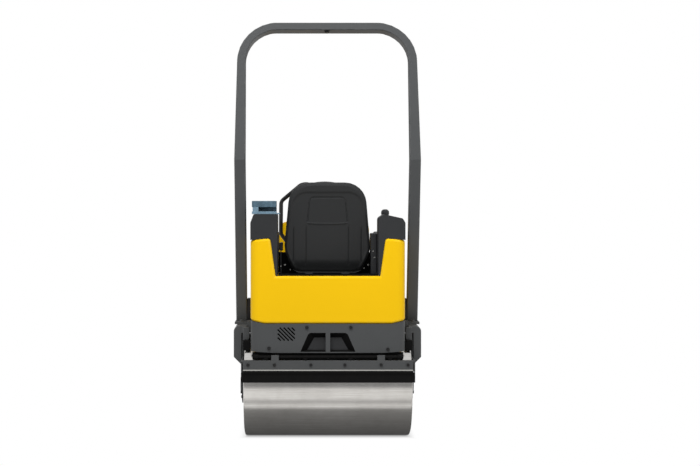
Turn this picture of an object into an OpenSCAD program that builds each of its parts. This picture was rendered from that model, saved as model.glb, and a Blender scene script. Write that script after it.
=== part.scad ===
// Ride-on tandem road roller: two steel drums, an articulated frame, a tank cowl with
// the seat let into it, a bent roll-over hoop and a tilting engine hood.
// +Y is forward, +Z is up, and the origin lies on the ground below the steering pivot.

/* [Drums] */
// Distance between the two drum axles
wheelbase = 1400; // [1360:10:1560]
// Distance of each drum end from the outer side of the hoop
drum_inset = 55; // [50:1:65]
// Diameter of each drum
drum_d = 560; // [540:5:580]
// Wall thickness of the drum shell
drum_shell = 14; // [10:1:20]
// Depth of the recess in each drum end
drum_recess = 95; // [85:1:120]
// Thickness of the drum end disc
drum_disc = 15; // [10:1:25]
// Bevel on the drum edges
drum_bevel = 8; // [3:1:12]
// Diameter of the stub axles
axle_d = 60; // [40:1:70]
// Diameter of the bearing housing on each drum leg
carrier_d = 170; // [140:5:200]

/* [Frames] */
// Thickness of the side plates that carry the drums
leg_t = 12; // [8:1:14]
// Gap between drum edge and side plate
leg_gap = 6; // [5:1:10]
// Radius of the round lower end of a side plate
leg_r = 105; // [95:1:120]
// Height of the chassis underside above the ground
chassis_z = 200; // [180:5:220]
// Height of the chassis box
chassis_h = 255; // [245:1:265]
// Wall thickness of the chassis box
chassis_wall = 10; // [6:1:14]
// Thickness of the nose plates at the pivot
nose_t = 25; // [18:1:32]
// Half width of the frame noses at the pivot
nose_w = 160; // [150:1:190]
// Thickness of the floor plate
floor_t = 6; // [4:1:10]
// Height of the beams over the rear drum
beam_h = 63; // [55:1:70]
// Height of the shelf on each hoop pedestal
shelf_h = 39; // [30:1:45]
// Thickness of the engine deck plate
deck_t = 15; // [10:1:20]

/* [Steering pivot] */
// Steering angle to each side, in degrees
steer_deg = 30; // [24:1:31]
// Space between each pivot ear and the nearer face of the chassis
ear_margin = 17; // [12:1:20]
// Diameter of the vertical pivot pin
pivot_pin_d = 64; // [50:1:70]
// Diameter of the oscillation journal
journal_d = 96; // [80:1:104]
// Thickness of each pivot ear
ear_t = 25; // [18:1:28]
// Outer radius of the pivot ears
ear_r = 70; // [60:1:72]
// Distance of the steering rod from the pivot
rod_arm = 105; // [100:1:115]
// Diameter of the steering rod
rod_d = 28; // [20:1:32]

/* [Tank cowl] */
// Gap between the cowl and each hoop post
post_gap = 31; // [26:1:45]
// Height of the cowl wings above the bay floor
wing_h = 203; // [170:1:230]
// Floor of the seat bay above the ground
bay_z = 892; // [870:2:910]
// Gap between the seat and each side of the bay
bay_gap = 41; // [30:1:46]
// How much each bay side slopes outwards up to the wing top
bay_slope = 29; // [10:1:40]
// Height of the end panels
panel_h = 155; // [146:1:160]
// Height of the clipped corners under the cowl
corner_h = 16; // [10:1:24]
// Thickness of the rear and front panels
panel_t = 15; // [10:1:16]
// How far the end panels stand in from the drum's rim
panel_in = 24; // [18:1:30]
// Height of the console caps above the wings
cap_h = 127; // [100:1:140]

/* [Roll-over hoop] */
// Outer width of the hoop
hoop_w = 1010; // [1000:1:1030]
// Width of the square tube
tube = 60; // [50:1:64]
// Height of the hoop above the ground
hoop_z = 2290; // [2200:10:2350]
// Height of the bend above the ground
bend_z = 1516; // [1450:2:1560]
// Backward lean of the lower posts, in degrees
lean_back = 12; // [8:1:14]
// Forward lean of the upper hoop, in degrees
lean_fwd = 14; // [10:1:18]
// Outer radius of the upper corners
hoop_r = 195; // [150:5:220]
// Thickness of the bolted foot flanges
foot_t = 12; // [8:1:16]

/* [Seat] */
// Width of the seat
seat_w = 474; // [440:2:490]
// Height of the backrest shell
back_h = 500; // [450:5:540]
// Thickness of the backrest
back_t = 95; // [80:1:110]
// Length of the seat cushion
cushion_l = 430; // [400:5:460]
// Thickness of the seat cushion
cushion_t = 105; // [80:1:130]

/* [Controls] */
// Diameter of the steering wheel
wheel_d = 374; // [340:2:400]
// Thickness of the steering wheel rim
rim_d = 26; // [20:1:30]
// Diameter of the grab bar
grab_d = 25; // [20:1:30]

/* [Hood] */
// Width of the engine hood
hood_w = 570; // [560:5:700]
// Top of the hood above the ground
hood_z = 1166; // [1120:2:1180]
// Wall thickness of the hood
hood_wall = 8; // [6:1:12]
// Length of the hood
hood_l = 715; // [690:5:720]

/* [Scrapers] */
// Height of the scraper bar
scraper_h = 67; // [60:1:72]
// Thickness of the bent scraper plate
scraper_t = 6; // [4:1:8]
// Height of the rubber blade below the bar
blade_h = 54; // [45:1:58]
// Thickness of the rubber blade
blade_t = 10; // [8:1:11]
// Diameter of the water spray pipes
spray_d = 18; // [12:1:18]

/* [Hidden] */
$fn = 64;

// Running clearance of pins in their bores, and seating gap of loose fits
run_gap = 0.06;
seat_gap = 0.3;
// Clear space kept round moving pieces
move_gap = 5;

// Paints
yellow = "#f5c518";
grey = "#4d4f52";
black = "#1f2022";
steel = "#b9b9b7";
blue_grey = "#6d8798";

// Drums and legs
drum_w = hoop_w - 2 * drum_inset;
drum_r = drum_d / 2;
axle_z = drum_r;
half_base = wheelbase / 2;
leg_in = drum_w / 2 + leg_gap;
leg_out = leg_in + leg_t;
disc_x = drum_w / 2 - drum_recess;
hub_r = axle_d / 2 + 25;
hub_h = 20;
carrier_in = disc_x + hub_h + move_gap;

// Frames: y is measured from the drum axle, towards the pivot
chassis_top = chassis_z + chassis_h;
box_y = drum_r + 25;
nose_gap = ear_r + 50;
nose_y = half_base - nose_gap;
vee_tan = tan(steer_deg / 2 - 3);
vee_y = nose_y - (leg_in - nose_w) * vee_tan;
beam_z = drum_d + 15;
beam_top = beam_z + beam_h;
beam_deep = 60;
deck_top = beam_z + deck_t;
floor_top = chassis_top + floor_t;

// Pivot
pivot_z = chassis_z + chassis_h / 2;
ear_gap = chassis_h / 2 - ear_margin - ear_t;
knuckle_h = 2 * (ear_gap - move_gap);
knuckle_r = ear_r - 12;
boss_r = knuckle_h / 2 - 10;
pin_r = pivot_pin_d / 2;
journal_r = journal_d / 2;

// Cowl, between the posts of the hoop
cowl_x = hoop_w / 2 - tube - post_gap;
cowl_w = 2 * cowl_x;
bay_x = seat_w / 2 + bay_gap;
wing_z = bay_z + wing_h;
panel_y = drum_r - panel_in;
panel_z = beam_top - panel_h;
cowl_l = panel_y + box_y - 15;
corner_run = corner_h * 4.6;
cowl_r = 45;

// Pedestals and hoop
ped_wall = 42;
ped_x = min(hoop_w / 2 - tube - 5, leg_out);
ped_out = leg_out + ped_wall;
shelf_out = max(hoop_w / 2 + 5, ped_out);
ped_z = beam_z + shelf_h;
ped_low = axle_z + 165;
ped_back = 130;
ped_front = 150;
end_t = 8;
end_low = axle_z + sqrt(pow(drum_r, 2) - pow(ped_back, 2)) + 10;
post_x = hoop_w / 2 - tube / 2;
post_z = ped_z + foot_t;
hoop_y = 45;

// Seat
seat_back_y = -55;
rail_h = 46;
seat_z = bay_z + rail_h;
back_lean = 8;
shell_t = back_t * 0.3;
cushion_y = seat_back_y + back_t - shell_t + 3;

// Wheel
wheel_tilt = 30;
wheel_r = wheel_d / 2;
wheel_y = -90;
wheel_z = 1322;
hub_pin_r = 10;
dash_x = 100;
dash_y = 75;
dash_z = 1105;
grab_y = 30;
lever_h = 108;

// Scraper: y from the axle, outwards is negative
scraper_y = drum_r + 16;
scraper_top = axle_z + 167;
scraper_low = scraper_top - scraper_h;
scraper_lip = 34;
tab_x = drum_w / 2 - 169;

// Hood, in the machine frame
hood_y1 = half_base + panel_y - 38;
hood_y0 = hood_y1 - hood_l;
hood_z0 = deck_top + 36;
hood_r = 42;
hinge_x = hood_w / 2 - 70;
hinge_y = hood_y1 - 26;
hinge_pin_r = 6;
grille_w = hood_w - 230;
grille_h = 180;

// A point moved towards its neighbours and turned into an arc of n steps
function unit(v) = v / norm(v);
function corner(a, p, b, r, n = 6) = let (
    u = unit(a - p), w = unit(b - p), half = acos(u * w) / 2,
    c = p + unit(u + w) * r / sin(half),
    s = p + u * r / tan(half) - c, e = p + w * r / tan(half) - c,
    from = atan2(s.y, s.x), turn = (atan2(e.y, e.x) - from + 540) % 360 - 180
) [for (i = [0:n]) c + r * [cos(from + turn * i / n), sin(from + turn * i / n)]];

// Outline with a radius at each point, given as [x, y, r]
function rounded(path) = [for (i = [0:len(path) - 1]) let (
    k = len(path), p = path[i], xy = [p.x, p.y],
    a = path[(i + k - 1) % k], b = path[(i + 1) % k]
) each (p.z > 0 ? corner([a.x, a.y], xy, [b.x, b.y], p.z) : [xy])];

// A direction in the side view, leaning forward by a
function rise(a) = [sin(a), cos(a)];

// The rear half stands at the rear axle; the front half is its mirror image
module at_rear() translate([0, -half_base, 0]) children();
module at_front() mirror([0, 1, 0]) at_rear() children();

// Both sides of the machine
module both_sides() {
    children();
    mirror([1, 0, 0]) children();
}

// An outline in the side view, given as [y, z], made w thick from x outwards
module side_view(x, w) translate([x, 0, 0]) rotate([90, 0, 90]) linear_extrude(w) children();

// An outline in the end view, given as [x, z], made from y0 to y1
module end_view(y0, y1) translate([0, y1, 0]) rotate([90, 0, 0]) linear_extrude(y1 - y0) children();

// A round bar along x
module bar_x(x0, x1, r) translate([x0, 0, 0]) rotate([0, 90, 0]) cylinder(h = x1 - x0, r = r);

// A round bar along y
module bar_y(y0, y1, r) translate([0, y0, 0]) rotate([-90, 0, 0]) cylinder(h = y1 - y0, r = r);

// Place of the steering wheel, with z along its column
module at_wheel() translate([0, wheel_y, wheel_z]) rotate([wheel_tilt, 0, 0]) children();

// A straight round bar from p to q
module rod_between(p, q, r) {
    d = unit(q - p);
    side = unit(cross(abs(d.z) < 0.9 ? [0, 0, 1] : [1, 0, 0], d));
    up = cross(d, side);
    multmatrix([[side.x, up.x, d.x, p.x], [side.y, up.y, d.y, p.y], [side.z, up.z, d.z, p.z]])
        cylinder(h = norm(q - p), r = r);
}

// An elbow of bend radius at p, between the directions u and w
module elbow(p, u, w, turn, r, bend) {
    inward = unit(w - u * (u * w));
    c = p - u * bend * tan(turn / 2) + inward * bend;
    n = cross(-inward, u);
    multmatrix([[-inward.x, u.x, n.x, c.x], [-inward.y, u.y, n.y, c.y], [-inward.z, u.z, n.z, c.z]])
        rotate_extrude(angle = turn) translate([bend, 0]) circle(r);
}

// A bent round tube through the points of path: straight sleeves that lap over the elbows
module pipe(path, r, bend) {
    last = len(path) - 1;
    lap = 1.5;
    sleeve = 0.3;
    way = [for (i = [0:last - 1]) unit(path[i + 1] - path[i])];
    turns = [for (i = [0:last]) i == 0 || i == last ? 0 : acos(way[i - 1] * way[i])];
    cut = [for (t = turns) t == 0 ? 0 : bend * tan(t / 2) - lap];
    for (i = [0:last - 1])
        rod_between(path[i] + way[i] * cut[i], path[i + 1] - way[i] * cut[i + 1], r);
    for (i = [1:last - 1]) elbow(path[i], way[i - 1], way[i], turns[i], r - sleeve, bend);
}

// Drums

// Drum shell with bevelled edges, a recessed disc in each end and a bored hub
module drum() color(steel) translate([0, 0, axle_z]) rotate([0, 90, 0]) {
    bevel = min(drum_bevel, drum_shell - 2);
    bore = axle_d / 2 + run_gap;
    rotate_extrude($fn = 128) {
        polygon([
            [drum_r - drum_shell, -drum_w / 2], [drum_r - bevel, -drum_w / 2],
            [drum_r, bevel - drum_w / 2], [drum_r, drum_w / 2 - bevel],
            [drum_r - bevel, drum_w / 2], [drum_r - drum_shell, drum_w / 2]
        ]);
        for (end = [0, 1]) mirror([0, end]) {
            translate([bore, disc_x - drum_disc]) square([drum_r - drum_shell - bore, drum_disc]);
            translate([bore, disc_x]) square([hub_r - bore, hub_h]);
        }
    }
}

// Bearing housing in each drum recess, with the stub axle that runs in the hub
module drum_carriers() color(grey) both_sides() translate([0, 0, axle_z]) {
    bar_x(carrier_in, leg_in, carrier_d / 2);
    bar_x(disc_x - drum_disc - 10, carrier_in, axle_d / 2);
}

// Frames

// Side plates from the axle up to top_z and along the chassis, with top_y the end of the high part
module side_plates(top_y) color(grey) both_sides() side_view(leg_in, leg_t) {
    translate([0, axle_z]) circle(leg_r);
    polygon([
        [-leg_r, axle_z], [-leg_r, beam_z], [top_y, beam_z],
        [min(top_y + beam_z - chassis_top, vee_y), chassis_top], [vee_y, chassis_top],
        [vee_y, chassis_z], [box_y + 30, chassis_z], [leg_r, axle_z]
    ]);
}

// Closed chassis box between the side plates, narrowed to a nose at the pivot
module chassis_box() {
    module plan(wall, nose) polygon([
        [wall - leg_in, box_y + wall], [leg_in - wall, box_y + wall], [leg_in - wall, vee_y - wall],
        [nose_w - wall, nose_y - nose], [wall - nose_w, nose_y - nose], [wall - leg_in, vee_y - wall]
    ]);
    difference() {
        translate([0, 0, chassis_z]) linear_extrude(chassis_h) plan(0, 0);
        translate([0, 0, chassis_z + chassis_wall])
            linear_extrude(chassis_h - 2 * chassis_wall) plan(chassis_wall, nose_t);
    }
}

// Rear chassis: box, two bored pivot ears and the gland of the steering rod
module rear_chassis() color(grey) at_rear() {
    difference() {
        chassis_box();
        translate([rod_arm, 0, pivot_z]) bar_y(nose_y - nose_t - 1, nose_y + 1, rod_d / 2 + run_gap);
    }
    for (z = [pivot_z + ear_gap, pivot_z - ear_gap - ear_t]) translate([0, 0, z]) linear_extrude(ear_t)
        difference() {
            union() {
                translate([0, half_base]) circle(ear_r);
                translate([-ear_r, nose_y]) square([2 * ear_r, nose_gap]);
            }
            translate([0, half_base]) circle(pin_r + run_gap);
        }
}

// Front chassis: box whose nose plate is bored for the oscillation journal
module front_chassis() color(grey) at_front() difference() {
    chassis_box();
    translate([0, 0, pivot_z]) bar_y(nose_y - nose_t - 1, nose_y + 1, journal_r + run_gap);
}

module rear_side_plates() at_rear() side_plates(leg_r + 30);
module front_side_plates() at_front() side_plates(vee_y);
module rear_drum_carriers() at_rear() drum_carriers();
module front_drum_carriers() at_front() drum_carriers();
module rear_drum() at_rear() drum();
module front_drum() at_front() drum();

// Two beams over the rear drum, between the hoop pedestals, that carry the cowl
module rear_beams() color(grey) at_rear() for (y = [-ped_back + 20, ped_front - beam_deep - 20])
    translate([-ped_x, y, beam_z]) cube([2 * ped_x, beam_deep, beam_h]);

// Shoulders on the side plates: a shelf that carries the hoop, a cheek outside the plate and an end plate
module hoop_pedestals() color(grey) at_rear() both_sides() {
    end_view(-ped_back, ped_front) {
        polygon(rounded([
            [ped_x, beam_z, 0], [ped_x, ped_z, 0], [shelf_out, ped_z, 30], [shelf_out, beam_z, 0]
        ]));
        polygon(rounded([
            [leg_out, beam_z, 0], [ped_out, beam_z, 0],
            [ped_out, ped_low, 8], [leg_out, ped_low - ped_wall, 0]
        ]));
    }
    end_view(-ped_back - end_t, -ped_back) polygon(rounded([
        [ped_x - 16, ped_z - 6, 10], [ped_x - 16, end_low, 12],
        [leg_in + 3, end_low, 0], [leg_in + 3, ped_z - 6, 0]
    ]));
}

// Engine deck over the front drum, on the side plates, with hinge brackets and rests for the hood
module front_deck() color(grey) {
    deck_y = half_base + panel_y - panel_t;
    translate([0, 0, beam_z]) linear_extrude(deck_t) difference() {
        translate([-leg_out, hood_y0 - 15]) square([2 * leg_out, deck_y - hood_y0 + 15]);
        translate([0, half_base + panel_y - recess_in - recess_wall - seat_gap]) {
            translate([-notch_w - 20, 0]) square([2 * notch_w + 40, 50]);
            for (x = [cowl_x - 70, -leg_out - 1]) translate([x, 0]) square([leg_out + 71 - cowl_x, 50]);
        }
    }
    both_sides() {
        translate([hood_w / 2 - 40, hood_y0 + 10, deck_top - 1])
            cube([40, 30, hood_z0 - deck_top + 1 - seat_gap]);
        side_view(hinge_x, 10) difference() {
            union() {
                translate([hinge_y, hood_z0]) circle(13);
                translate([hinge_y - 13, deck_top - 1]) square([13, hood_z0 - deck_top + 1]);
            }
            translate([hinge_y, hood_z0]) circle(hinge_pin_r + run_gap);
        }
    }
}

// Pivot knuckle: the vertical pin, the oscillation journal and the steering arm
module pivot_knuckle() color(grey) translate([0, 0, pivot_z]) {
    cap_z = ear_gap + ear_t + 1;
    back_y = nose_gap + nose_t + move_gap;
    cylinder(h = knuckle_h, r = knuckle_r, center = true);
    cylinder(h = 2 * cap_z, r = pin_r, center = true);
    for (z = [cap_z, -cap_z - 8]) translate([0, 0, z]) cylinder(h = 8, r = pin_r + 12);
    bar_y(0, nose_gap - move_gap, boss_r);
    bar_y(0, back_y + 12, journal_r);
    bar_y(back_y, back_y + 12, boss_r);
    translate([0, -20, -10]) cube([rod_arm, 40, 20]);
    translate([rod_arm, 0, -10]) cylinder(h = 20, r = 22);
}

// Steering cylinder's rod: it slides in the rear nose and forks round the knuckle arm
module steer_rod() color(steel) translate([rod_arm, 0, pivot_z]) {
    fork = 12;
    bar_y(-260, -50, rod_d / 2);
    translate([-22, -58, -22]) cube([44, 22, 44]);
    for (z = [fork, -fork - 10]) translate([0, 0, z]) {
        cylinder(h = 10, r = 22);
        translate([-22, -40, 0]) cube([44, 40, 10]);
    }
    for (z = [fork + 10, -fork - 15]) translate([0, 0, z]) cylinder(h = 5, r = 13);
}

// Operator station

// Tread plate over the rear chassis, with a riser up to the cowl
module platform_floor() color(black) at_rear() {
    back = box_y - 15;
    translate([0, 0, chassis_top]) linear_extrude(floor_t) polygon([
        [-leg_out, back], [leg_out, back], [leg_out, vee_y - leg_t * vee_tan], [nose_w, nose_y],
        [-nose_w, nose_y], [-leg_out, vee_y - leg_t * vee_tan]
    ]);
    translate([-cowl_x, back - floor_t, chassis_top]) cube([cowl_w, floor_t + 1, beam_top - chassis_top]);
}

// Plan outline of the cowl and the end panels, with rounded outer corners, inset by wall
module cowl_plan(wall) polygon(rounded([
    [wall - cowl_x, wall - panel_y, cowl_r - wall], [cowl_x - wall, wall - panel_y, cowl_r - wall],
    [cowl_x - wall, cowl_l - panel_y, 0], [wall - cowl_x, cowl_l - panel_y, 0]
]));

// Water tank cowl: a deep U with the seat bay between its wings
module tank_cowl() color(yellow) at_rear() intersection() {
    translate([0, 0, beam_top]) linear_extrude(wing_z) cowl_plan(0);
    end_view(-panel_y - 1, cowl_l) polygon(rounded([
        [corner_run - cowl_x, beam_top, 0], [cowl_x - corner_run, beam_top, 0],
        [cowl_x, beam_top + corner_h, 0], [cowl_x, wing_z - 10, 0],
        [bay_x + bay_slope, wing_z, 18], [bay_x, bay_z, 0],
        [-bay_x, bay_z, 0], [-bay_x - bay_slope, wing_z, 18],
        [-cowl_x, wing_z - 10, 0], [-cowl_x, beam_top + corner_h, 0]
    ]));
}

// Recess for the tow eye, as an end view grown by g
notch_low = panel_z + 6;
notch_top = panel_z + 107;
notch_w = 147;
notch_slope = 69;
module notch(g) polygon(rounded([
    [-notch_w - g, notch_low - g, 0], [notch_w + g, notch_low - g, 0],
    [notch_w - notch_slope + g, notch_top + g, 24], [notch_slope - notch_w - g, notch_top + g, 24]
]));
recess_in = 32;
recess_wall = 6;

// End panel up to top, with corners raised by lift and the tow eye recess; louvre adds the round vent
module end_panel(top, lift, louvre) color(grey) difference() {
    union() {
        intersection() {
            translate([0, 0, panel_z]) linear_extrude(top + lift - panel_z) difference() {
                cowl_plan(0);
                cowl_plan(panel_t);
                translate([-cowl_x, 34 - panel_y]) square([cowl_w, cowl_l]);
            }
            end_view(-panel_y - 1, 0) polygon([
                [-cowl_x, panel_z + 8], [-cowl_x * 0.7, panel_z], [cowl_x * 0.7, panel_z],
                [cowl_x, panel_z + 8], [cowl_x, top + lift], [cowl_x - corner_run, top],
                [corner_run - cowl_x, top], [-cowl_x, top + lift]
            ]);
        }
        end_view(-panel_y, recess_in + recess_wall - panel_y) notch(recess_wall);
    }
    end_view(-panel_y - 1, recess_in - panel_y) notch(0);
    if (louvre) end_view(-panel_y - 1, panel_t + 1 - panel_y) translate([-222, panel_z + 100])
        intersection() {
            circle(46);
            for (i = [-3:3]) rotate(45) translate([i * 13, 0]) square([6.5, 100], center = true);
        }
}

module rear_panel() at_rear() end_panel(beam_top, corner_h, true);
module front_panel() at_front() end_panel(deck_top + 22, 0, false);

// Lashing lug in the recess, bored across the machine
eye_t = 24;
eye_r = 9;
module tow_eye() color(grey) difference() {
    translate([-eye_t / 2, -panel_y, notch_low]) cube([eye_t, recess_in, notch_top - notch_low]);
    translate([0, recess_in / 2 - panel_y, (notch_low + notch_top) / 2]) bar_x(-eye_t, eye_t, eye_r);
}
module rear_tow_eye() at_rear() tow_eye();
module front_tow_eye() at_front() tow_eye();

// Side consoles: a high cap at the rear of each wing, and a low cap with a liner along the bay side
cap_z = wing_z + cap_h;
low_cap_z = wing_z + 25;
liner = 8;
console_l = cowl_l - 40;
cap_fall = 22;
module console_left() color(black) at_rear() {
    end_view(6 - panel_y, 235 - panel_y) polygon(rounded([
        [liner - bay_x, bay_z, 0], [liner - bay_x, cap_z, 8], [17 - cowl_x, cap_z, 8],
        [-cowl_x, cap_z - 45, 14], [-cowl_x, wing_z - 10, 0],
        [-bay_x - bay_slope, wing_z, 18], [-bay_x, bay_z, 0]
    ]));
    mirror([1, 0, 0]) low_cap(235);
}
module console_right() color(black) at_rear() {
    end_view(6 - panel_y, 135 - panel_y) polygon(rounded([
        [bay_x - liner, bay_z, 0], [bay_x - liner, cap_z - 20, 20], [bay_x + 22, cap_z, 14],
        [cowl_x - 14, cap_z - cap_fall, 14], [cowl_x, cap_z - 45, 14], [cowl_x, wing_z - 10, 0],
        [bay_x + bay_slope, wing_z, 18], [bay_x, bay_z, 0]
    ]));
    low_cap(135);
}
module low_cap(from) end_view(from - 1 - panel_y, console_l - panel_y) polygon(rounded([
    [bay_x - liner, bay_z, 0], [bay_x - liner, low_cap_z, 12], [cowl_x, low_cap_z, 14],
    [cowl_x, wing_z - 10, 0], [bay_x + bay_slope, wing_z, 18], [bay_x, bay_z, 0]
]));

// Two rails under the seat, on the bay floor
module seat_rails() color(black) at_rear() both_sides()
    translate([seat_w / 2 - 95, cushion_y + 10, bay_z])
        cube([50, min(cushion_l - 60, cowl_l - panel_y - cushion_y - 20), rail_h]);

// Plan outline of the cushion, inset all round
module cushion_outline(inset) polygon(rounded([
    [inset - seat_w / 2, inset, 50], [seat_w / 2 - inset, inset, 50],
    [seat_w / 2 - inset, cushion_l - inset, 80], [inset - seat_w / 2, cushion_l - inset, 80]
]));

// Cushion with softened edges
module seat_cushion() color(black) at_rear() translate([0, cushion_y, seat_z]) hull() {
    linear_extrude(cushion_t * 0.2) cushion_outline(12);
    translate([0, 0, cushion_t * 0.3]) linear_extrude(cushion_t * 0.4) cushion_outline(0);
    translate([0, 0, cushion_t * 0.9]) linear_extrude(cushion_t * 0.1) cushion_outline(28);
}

// Outline of the backrest seen from behind, widest low down, inset all round
module back_outline(inset) polygon(rounded([
    [52 + inset - seat_w / 2, inset, 60], [seat_w / 2 - 52 - inset, inset, 60],
    [seat_w / 2 - inset, 130, 150], [seat_w / 2 - 34 - inset, back_h - inset, 118],
    [34 + inset - seat_w / 2, back_h - inset, 118], [inset - seat_w / 2, 130, 150]
]));

// Place for the backrest, leaning back from the rear edge of the cushion
module at_back() at_rear() translate([0, seat_back_y, bay_z + 8]) rotate([back_lean, 0, 0]) children();

// Moulded shell behind the backrest pad, on two feet that stand on the bay floor
module seat_shell() color(black) {
    at_back() hull() {
        end_view(-shell_t, -shell_t * 0.7) back_outline(14);
        end_view(-shell_t * 0.6, 0) back_outline(0);
    }
    at_rear() both_sides() translate([seat_w / 2 - 157, seat_back_y - shell_t * 0.8, bay_z])
        cube([40, shell_t * 0.6, 40]);
}

// Backrest pad in front of the shell
module seat_back() color(black) at_back() hull() {
    end_view(0, (back_t - shell_t) * 0.5) back_outline(6);
    end_view((back_t - shell_t) * 0.9, back_t - shell_t) back_outline(26);
}

// Hoop of square tube: foot flanges, leaning posts with a mitred bend, and a rounded top bar
module rops_hoop() color(grey) at_rear() {
    half = tube / 2;
    knee = [hoop_y - (bend_z - post_z) * tan(lean_back), bend_z];
    mitre = half / cos((lean_back + lean_fwd) / 2) * rise((lean_fwd - lean_back) / 2 + 90);
    straight = (hoop_z - bend_z - half * sin(lean_fwd)) / cos(lean_fwd) - hoop_r;
    top = knee + straight * rise(lean_fwd);
    side = half * rise(lean_fwd + 90);
    base = [hoop_y, post_z];
    foot = [half / cos(lean_back), 0];
    both_sides() {
        side_view(post_x - half, tube)
            polygon([base - foot, knee - mitre, top - side, top + side, knee + mitre, base + foot]);
        difference() {
            translate([post_x - half - 5, hoop_y - 85, ped_z]) cube([tube + 10, 170, foot_t]);
            for (y = [-65, 65]) translate([post_x, hoop_y + y, ped_z - 1]) cylinder(h = foot_t + 2, r = 7);
        }
    }
    translate([0, knee.x, bend_z]) rotate([-lean_fwd, 0, 0]) translate([0, 0, straight])
        end_view(-half, half) polygon(concat(
            rounded([
                [-post_x - half, 0, 0], [-post_x - half, hoop_r, hoop_r - 5],
                [post_x + half, hoop_r, hoop_r - 5], [post_x + half, 0, 0]
            ]),
            rounded([
                [post_x - half, 0, 0], [post_x - half, hoop_r - tube, hoop_r - tube - 5],
                [half - post_x, hoop_r - tube, hoop_r - tube - 5], [half - post_x, 0, 0]
            ])
        ));
}

// Steering column stand on the platform, leaning towards the pivot
module dash_column() color(black) side_view(-dash_x, 2 * dash_x) polygon(rounded([
    [-nose_gap - 110, floor_top, 0], [-nose_gap - 10, floor_top, 0], [60, dash_z - 160, 60],
    [60, dash_z, 0], [-70, dash_z, 0], [-75, dash_z - 130, 60]
]));

// Instrument panel on the stand, with the column tube and the pin of the steering wheel
module dash_panel() color(black) {
    side_view(-180, 360) polygon(rounded([
        [-dash_y, dash_z, 0], [dash_y, dash_z, 0], [dash_y, dash_z + 85, 15], [-dash_y, dash_z + 35, 15]
    ]));
    at_wheel() {
        translate([0, 0, -215]) cylinder(h = 195, r = 28);
        translate([0, 0, -21]) cylinder(h = 38, r = hub_pin_r);
    }
}

// Steering wheel: hub with a bore, three spokes and a round rim
module steering_wheel() color(black) at_wheel() {
    difference() {
        translate([0, 0, -15]) cylinder(h = 40, r = 36);
        translate([0, 0, -16]) cylinder(h = 36, r = hub_pin_r + run_gap);
    }
    for (a = [90, 210, 330]) rotate(a) bar_x(30, wheel_r - rim_d / 2, 9);
    rotate_extrude() translate([wheel_r - rim_d / 2, 0]) circle(rim_d / 2, $fn = 24);
}

// Grab bar on the left of the instrument panel, from the stand round to the panel's front face
module grab_bar() color(black) pipe([
    [-dash_x, grab_y, dash_z - 115], [-190, grab_y, dash_z - 115], [-272, grab_y, dash_z - 10],
    [-272, grab_y, dash_z + 70], [-272, dash_y + 20, wheel_z - 24], [-148, dash_y + 30, wheel_z + 80],
    [-75, dash_y + 30, wheel_z + 92], [-75, dash_y + 45, wheel_z + 8], [-75, dash_y + 45, dash_z + 45],
    [-75, dash_y, dash_z + 45]
], grab_d / 2, 40);

// Travel lever with a ball knob, on the low cap of the right console
module travel_lever() color(black) at_rear() translate([(cowl_x + bay_x) / 2 - 8, 210, low_cap_z]) {
    cylinder(h = 6, r = 30);
    cylinder(h = lever_h, r = 9);
    translate([0, 0, lever_h]) sphere(21);
}

// Holder on the left console: a base plate and a block with a slot open to the rear
module document_holder() color(blue_grey) at_rear() translate([-cowl_x, -160, cap_z]) {
    holder_w = cowl_x - bay_x - 7;
    translate([18, -5, 0]) cube([holder_w + 9, 130, 6]);
    translate([4, 0, 6]) difference() {
        cube([holder_w, 120, 66]);
        translate([8, -1, 4]) cube([holder_w - 16, 113, 28]);
    }
}

// Scrapers

// Bent scraper plate with bolts and tabs, carried by an arm from each side plate
module scraper_bar() color(grey) {
    plate_x = drum_w / 2 + 1;
    arm_x = leg_in + 6;
    bolt_r = 9;
    bolt_h = 7;
    translate([-plate_x, -scraper_y, scraper_low]) cube([2 * plate_x, scraper_t, scraper_h]);
    translate([-arm_x, -scraper_y, scraper_top - scraper_t]) cube([2 * arm_x, scraper_lip, scraper_t]);
    both_sides() {
        for (x = [plate_x * 0.205, tab_x + 10, plate_x - 15])
            translate([x, -scraper_y, scraper_top - 30]) bar_y(-bolt_h, 1, bolt_r);
        translate([tab_x - 20, -scraper_y, scraper_top - 1]) cube([40, scraper_t, 30]);
        side_view(leg_in, 6) polygon([
            [scraper_t - scraper_y, scraper_low + 7], [-leg_r, scraper_low - 15],
            [-leg_r, scraper_top], [scraper_t - scraper_y, scraper_top]
        ]);
    }
}

// Rubber blade clamped behind the scraper plate
module scraper_blade() color(black)
    translate([-leg_in - 6, scraper_t - scraper_y, scraper_low + 4 - blade_h])
        cube([2 * leg_in + 12, blade_t, blade_h + 1]);

// Water pipe along the top of the scraper plate, on four clips
module spray_pipe() color(black) translate([0, 20 - scraper_y, 0]) {
    r = spray_d / 2;
    pipe_x = drum_w / 2 - 54;
    pipe_z = scraper_top + 17;
    translate([0, 0, pipe_z]) bar_x(16 - pipe_x, pipe_x - 16, r);
    both_sides() {
        translate([0, 0, pipe_z]) bar_x(pipe_x - 26, pipe_x, r + 4);
        for (x = [120, 330]) translate([x - 10, -8, scraper_top]) cube([20, 16, pipe_z - scraper_top]);
    }
}

module rear_scraper_bar() at_rear() scraper_bar();
module front_scraper_bar() at_front() scraper_bar();
module rear_scraper_blade() at_rear() scraper_blade();
module front_scraper_blade() at_front() scraper_blade();
module rear_spray_pipe() at_rear() spray_pipe();
module front_spray_pipe() at_front() spray_pipe();

// Engine and hood

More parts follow.
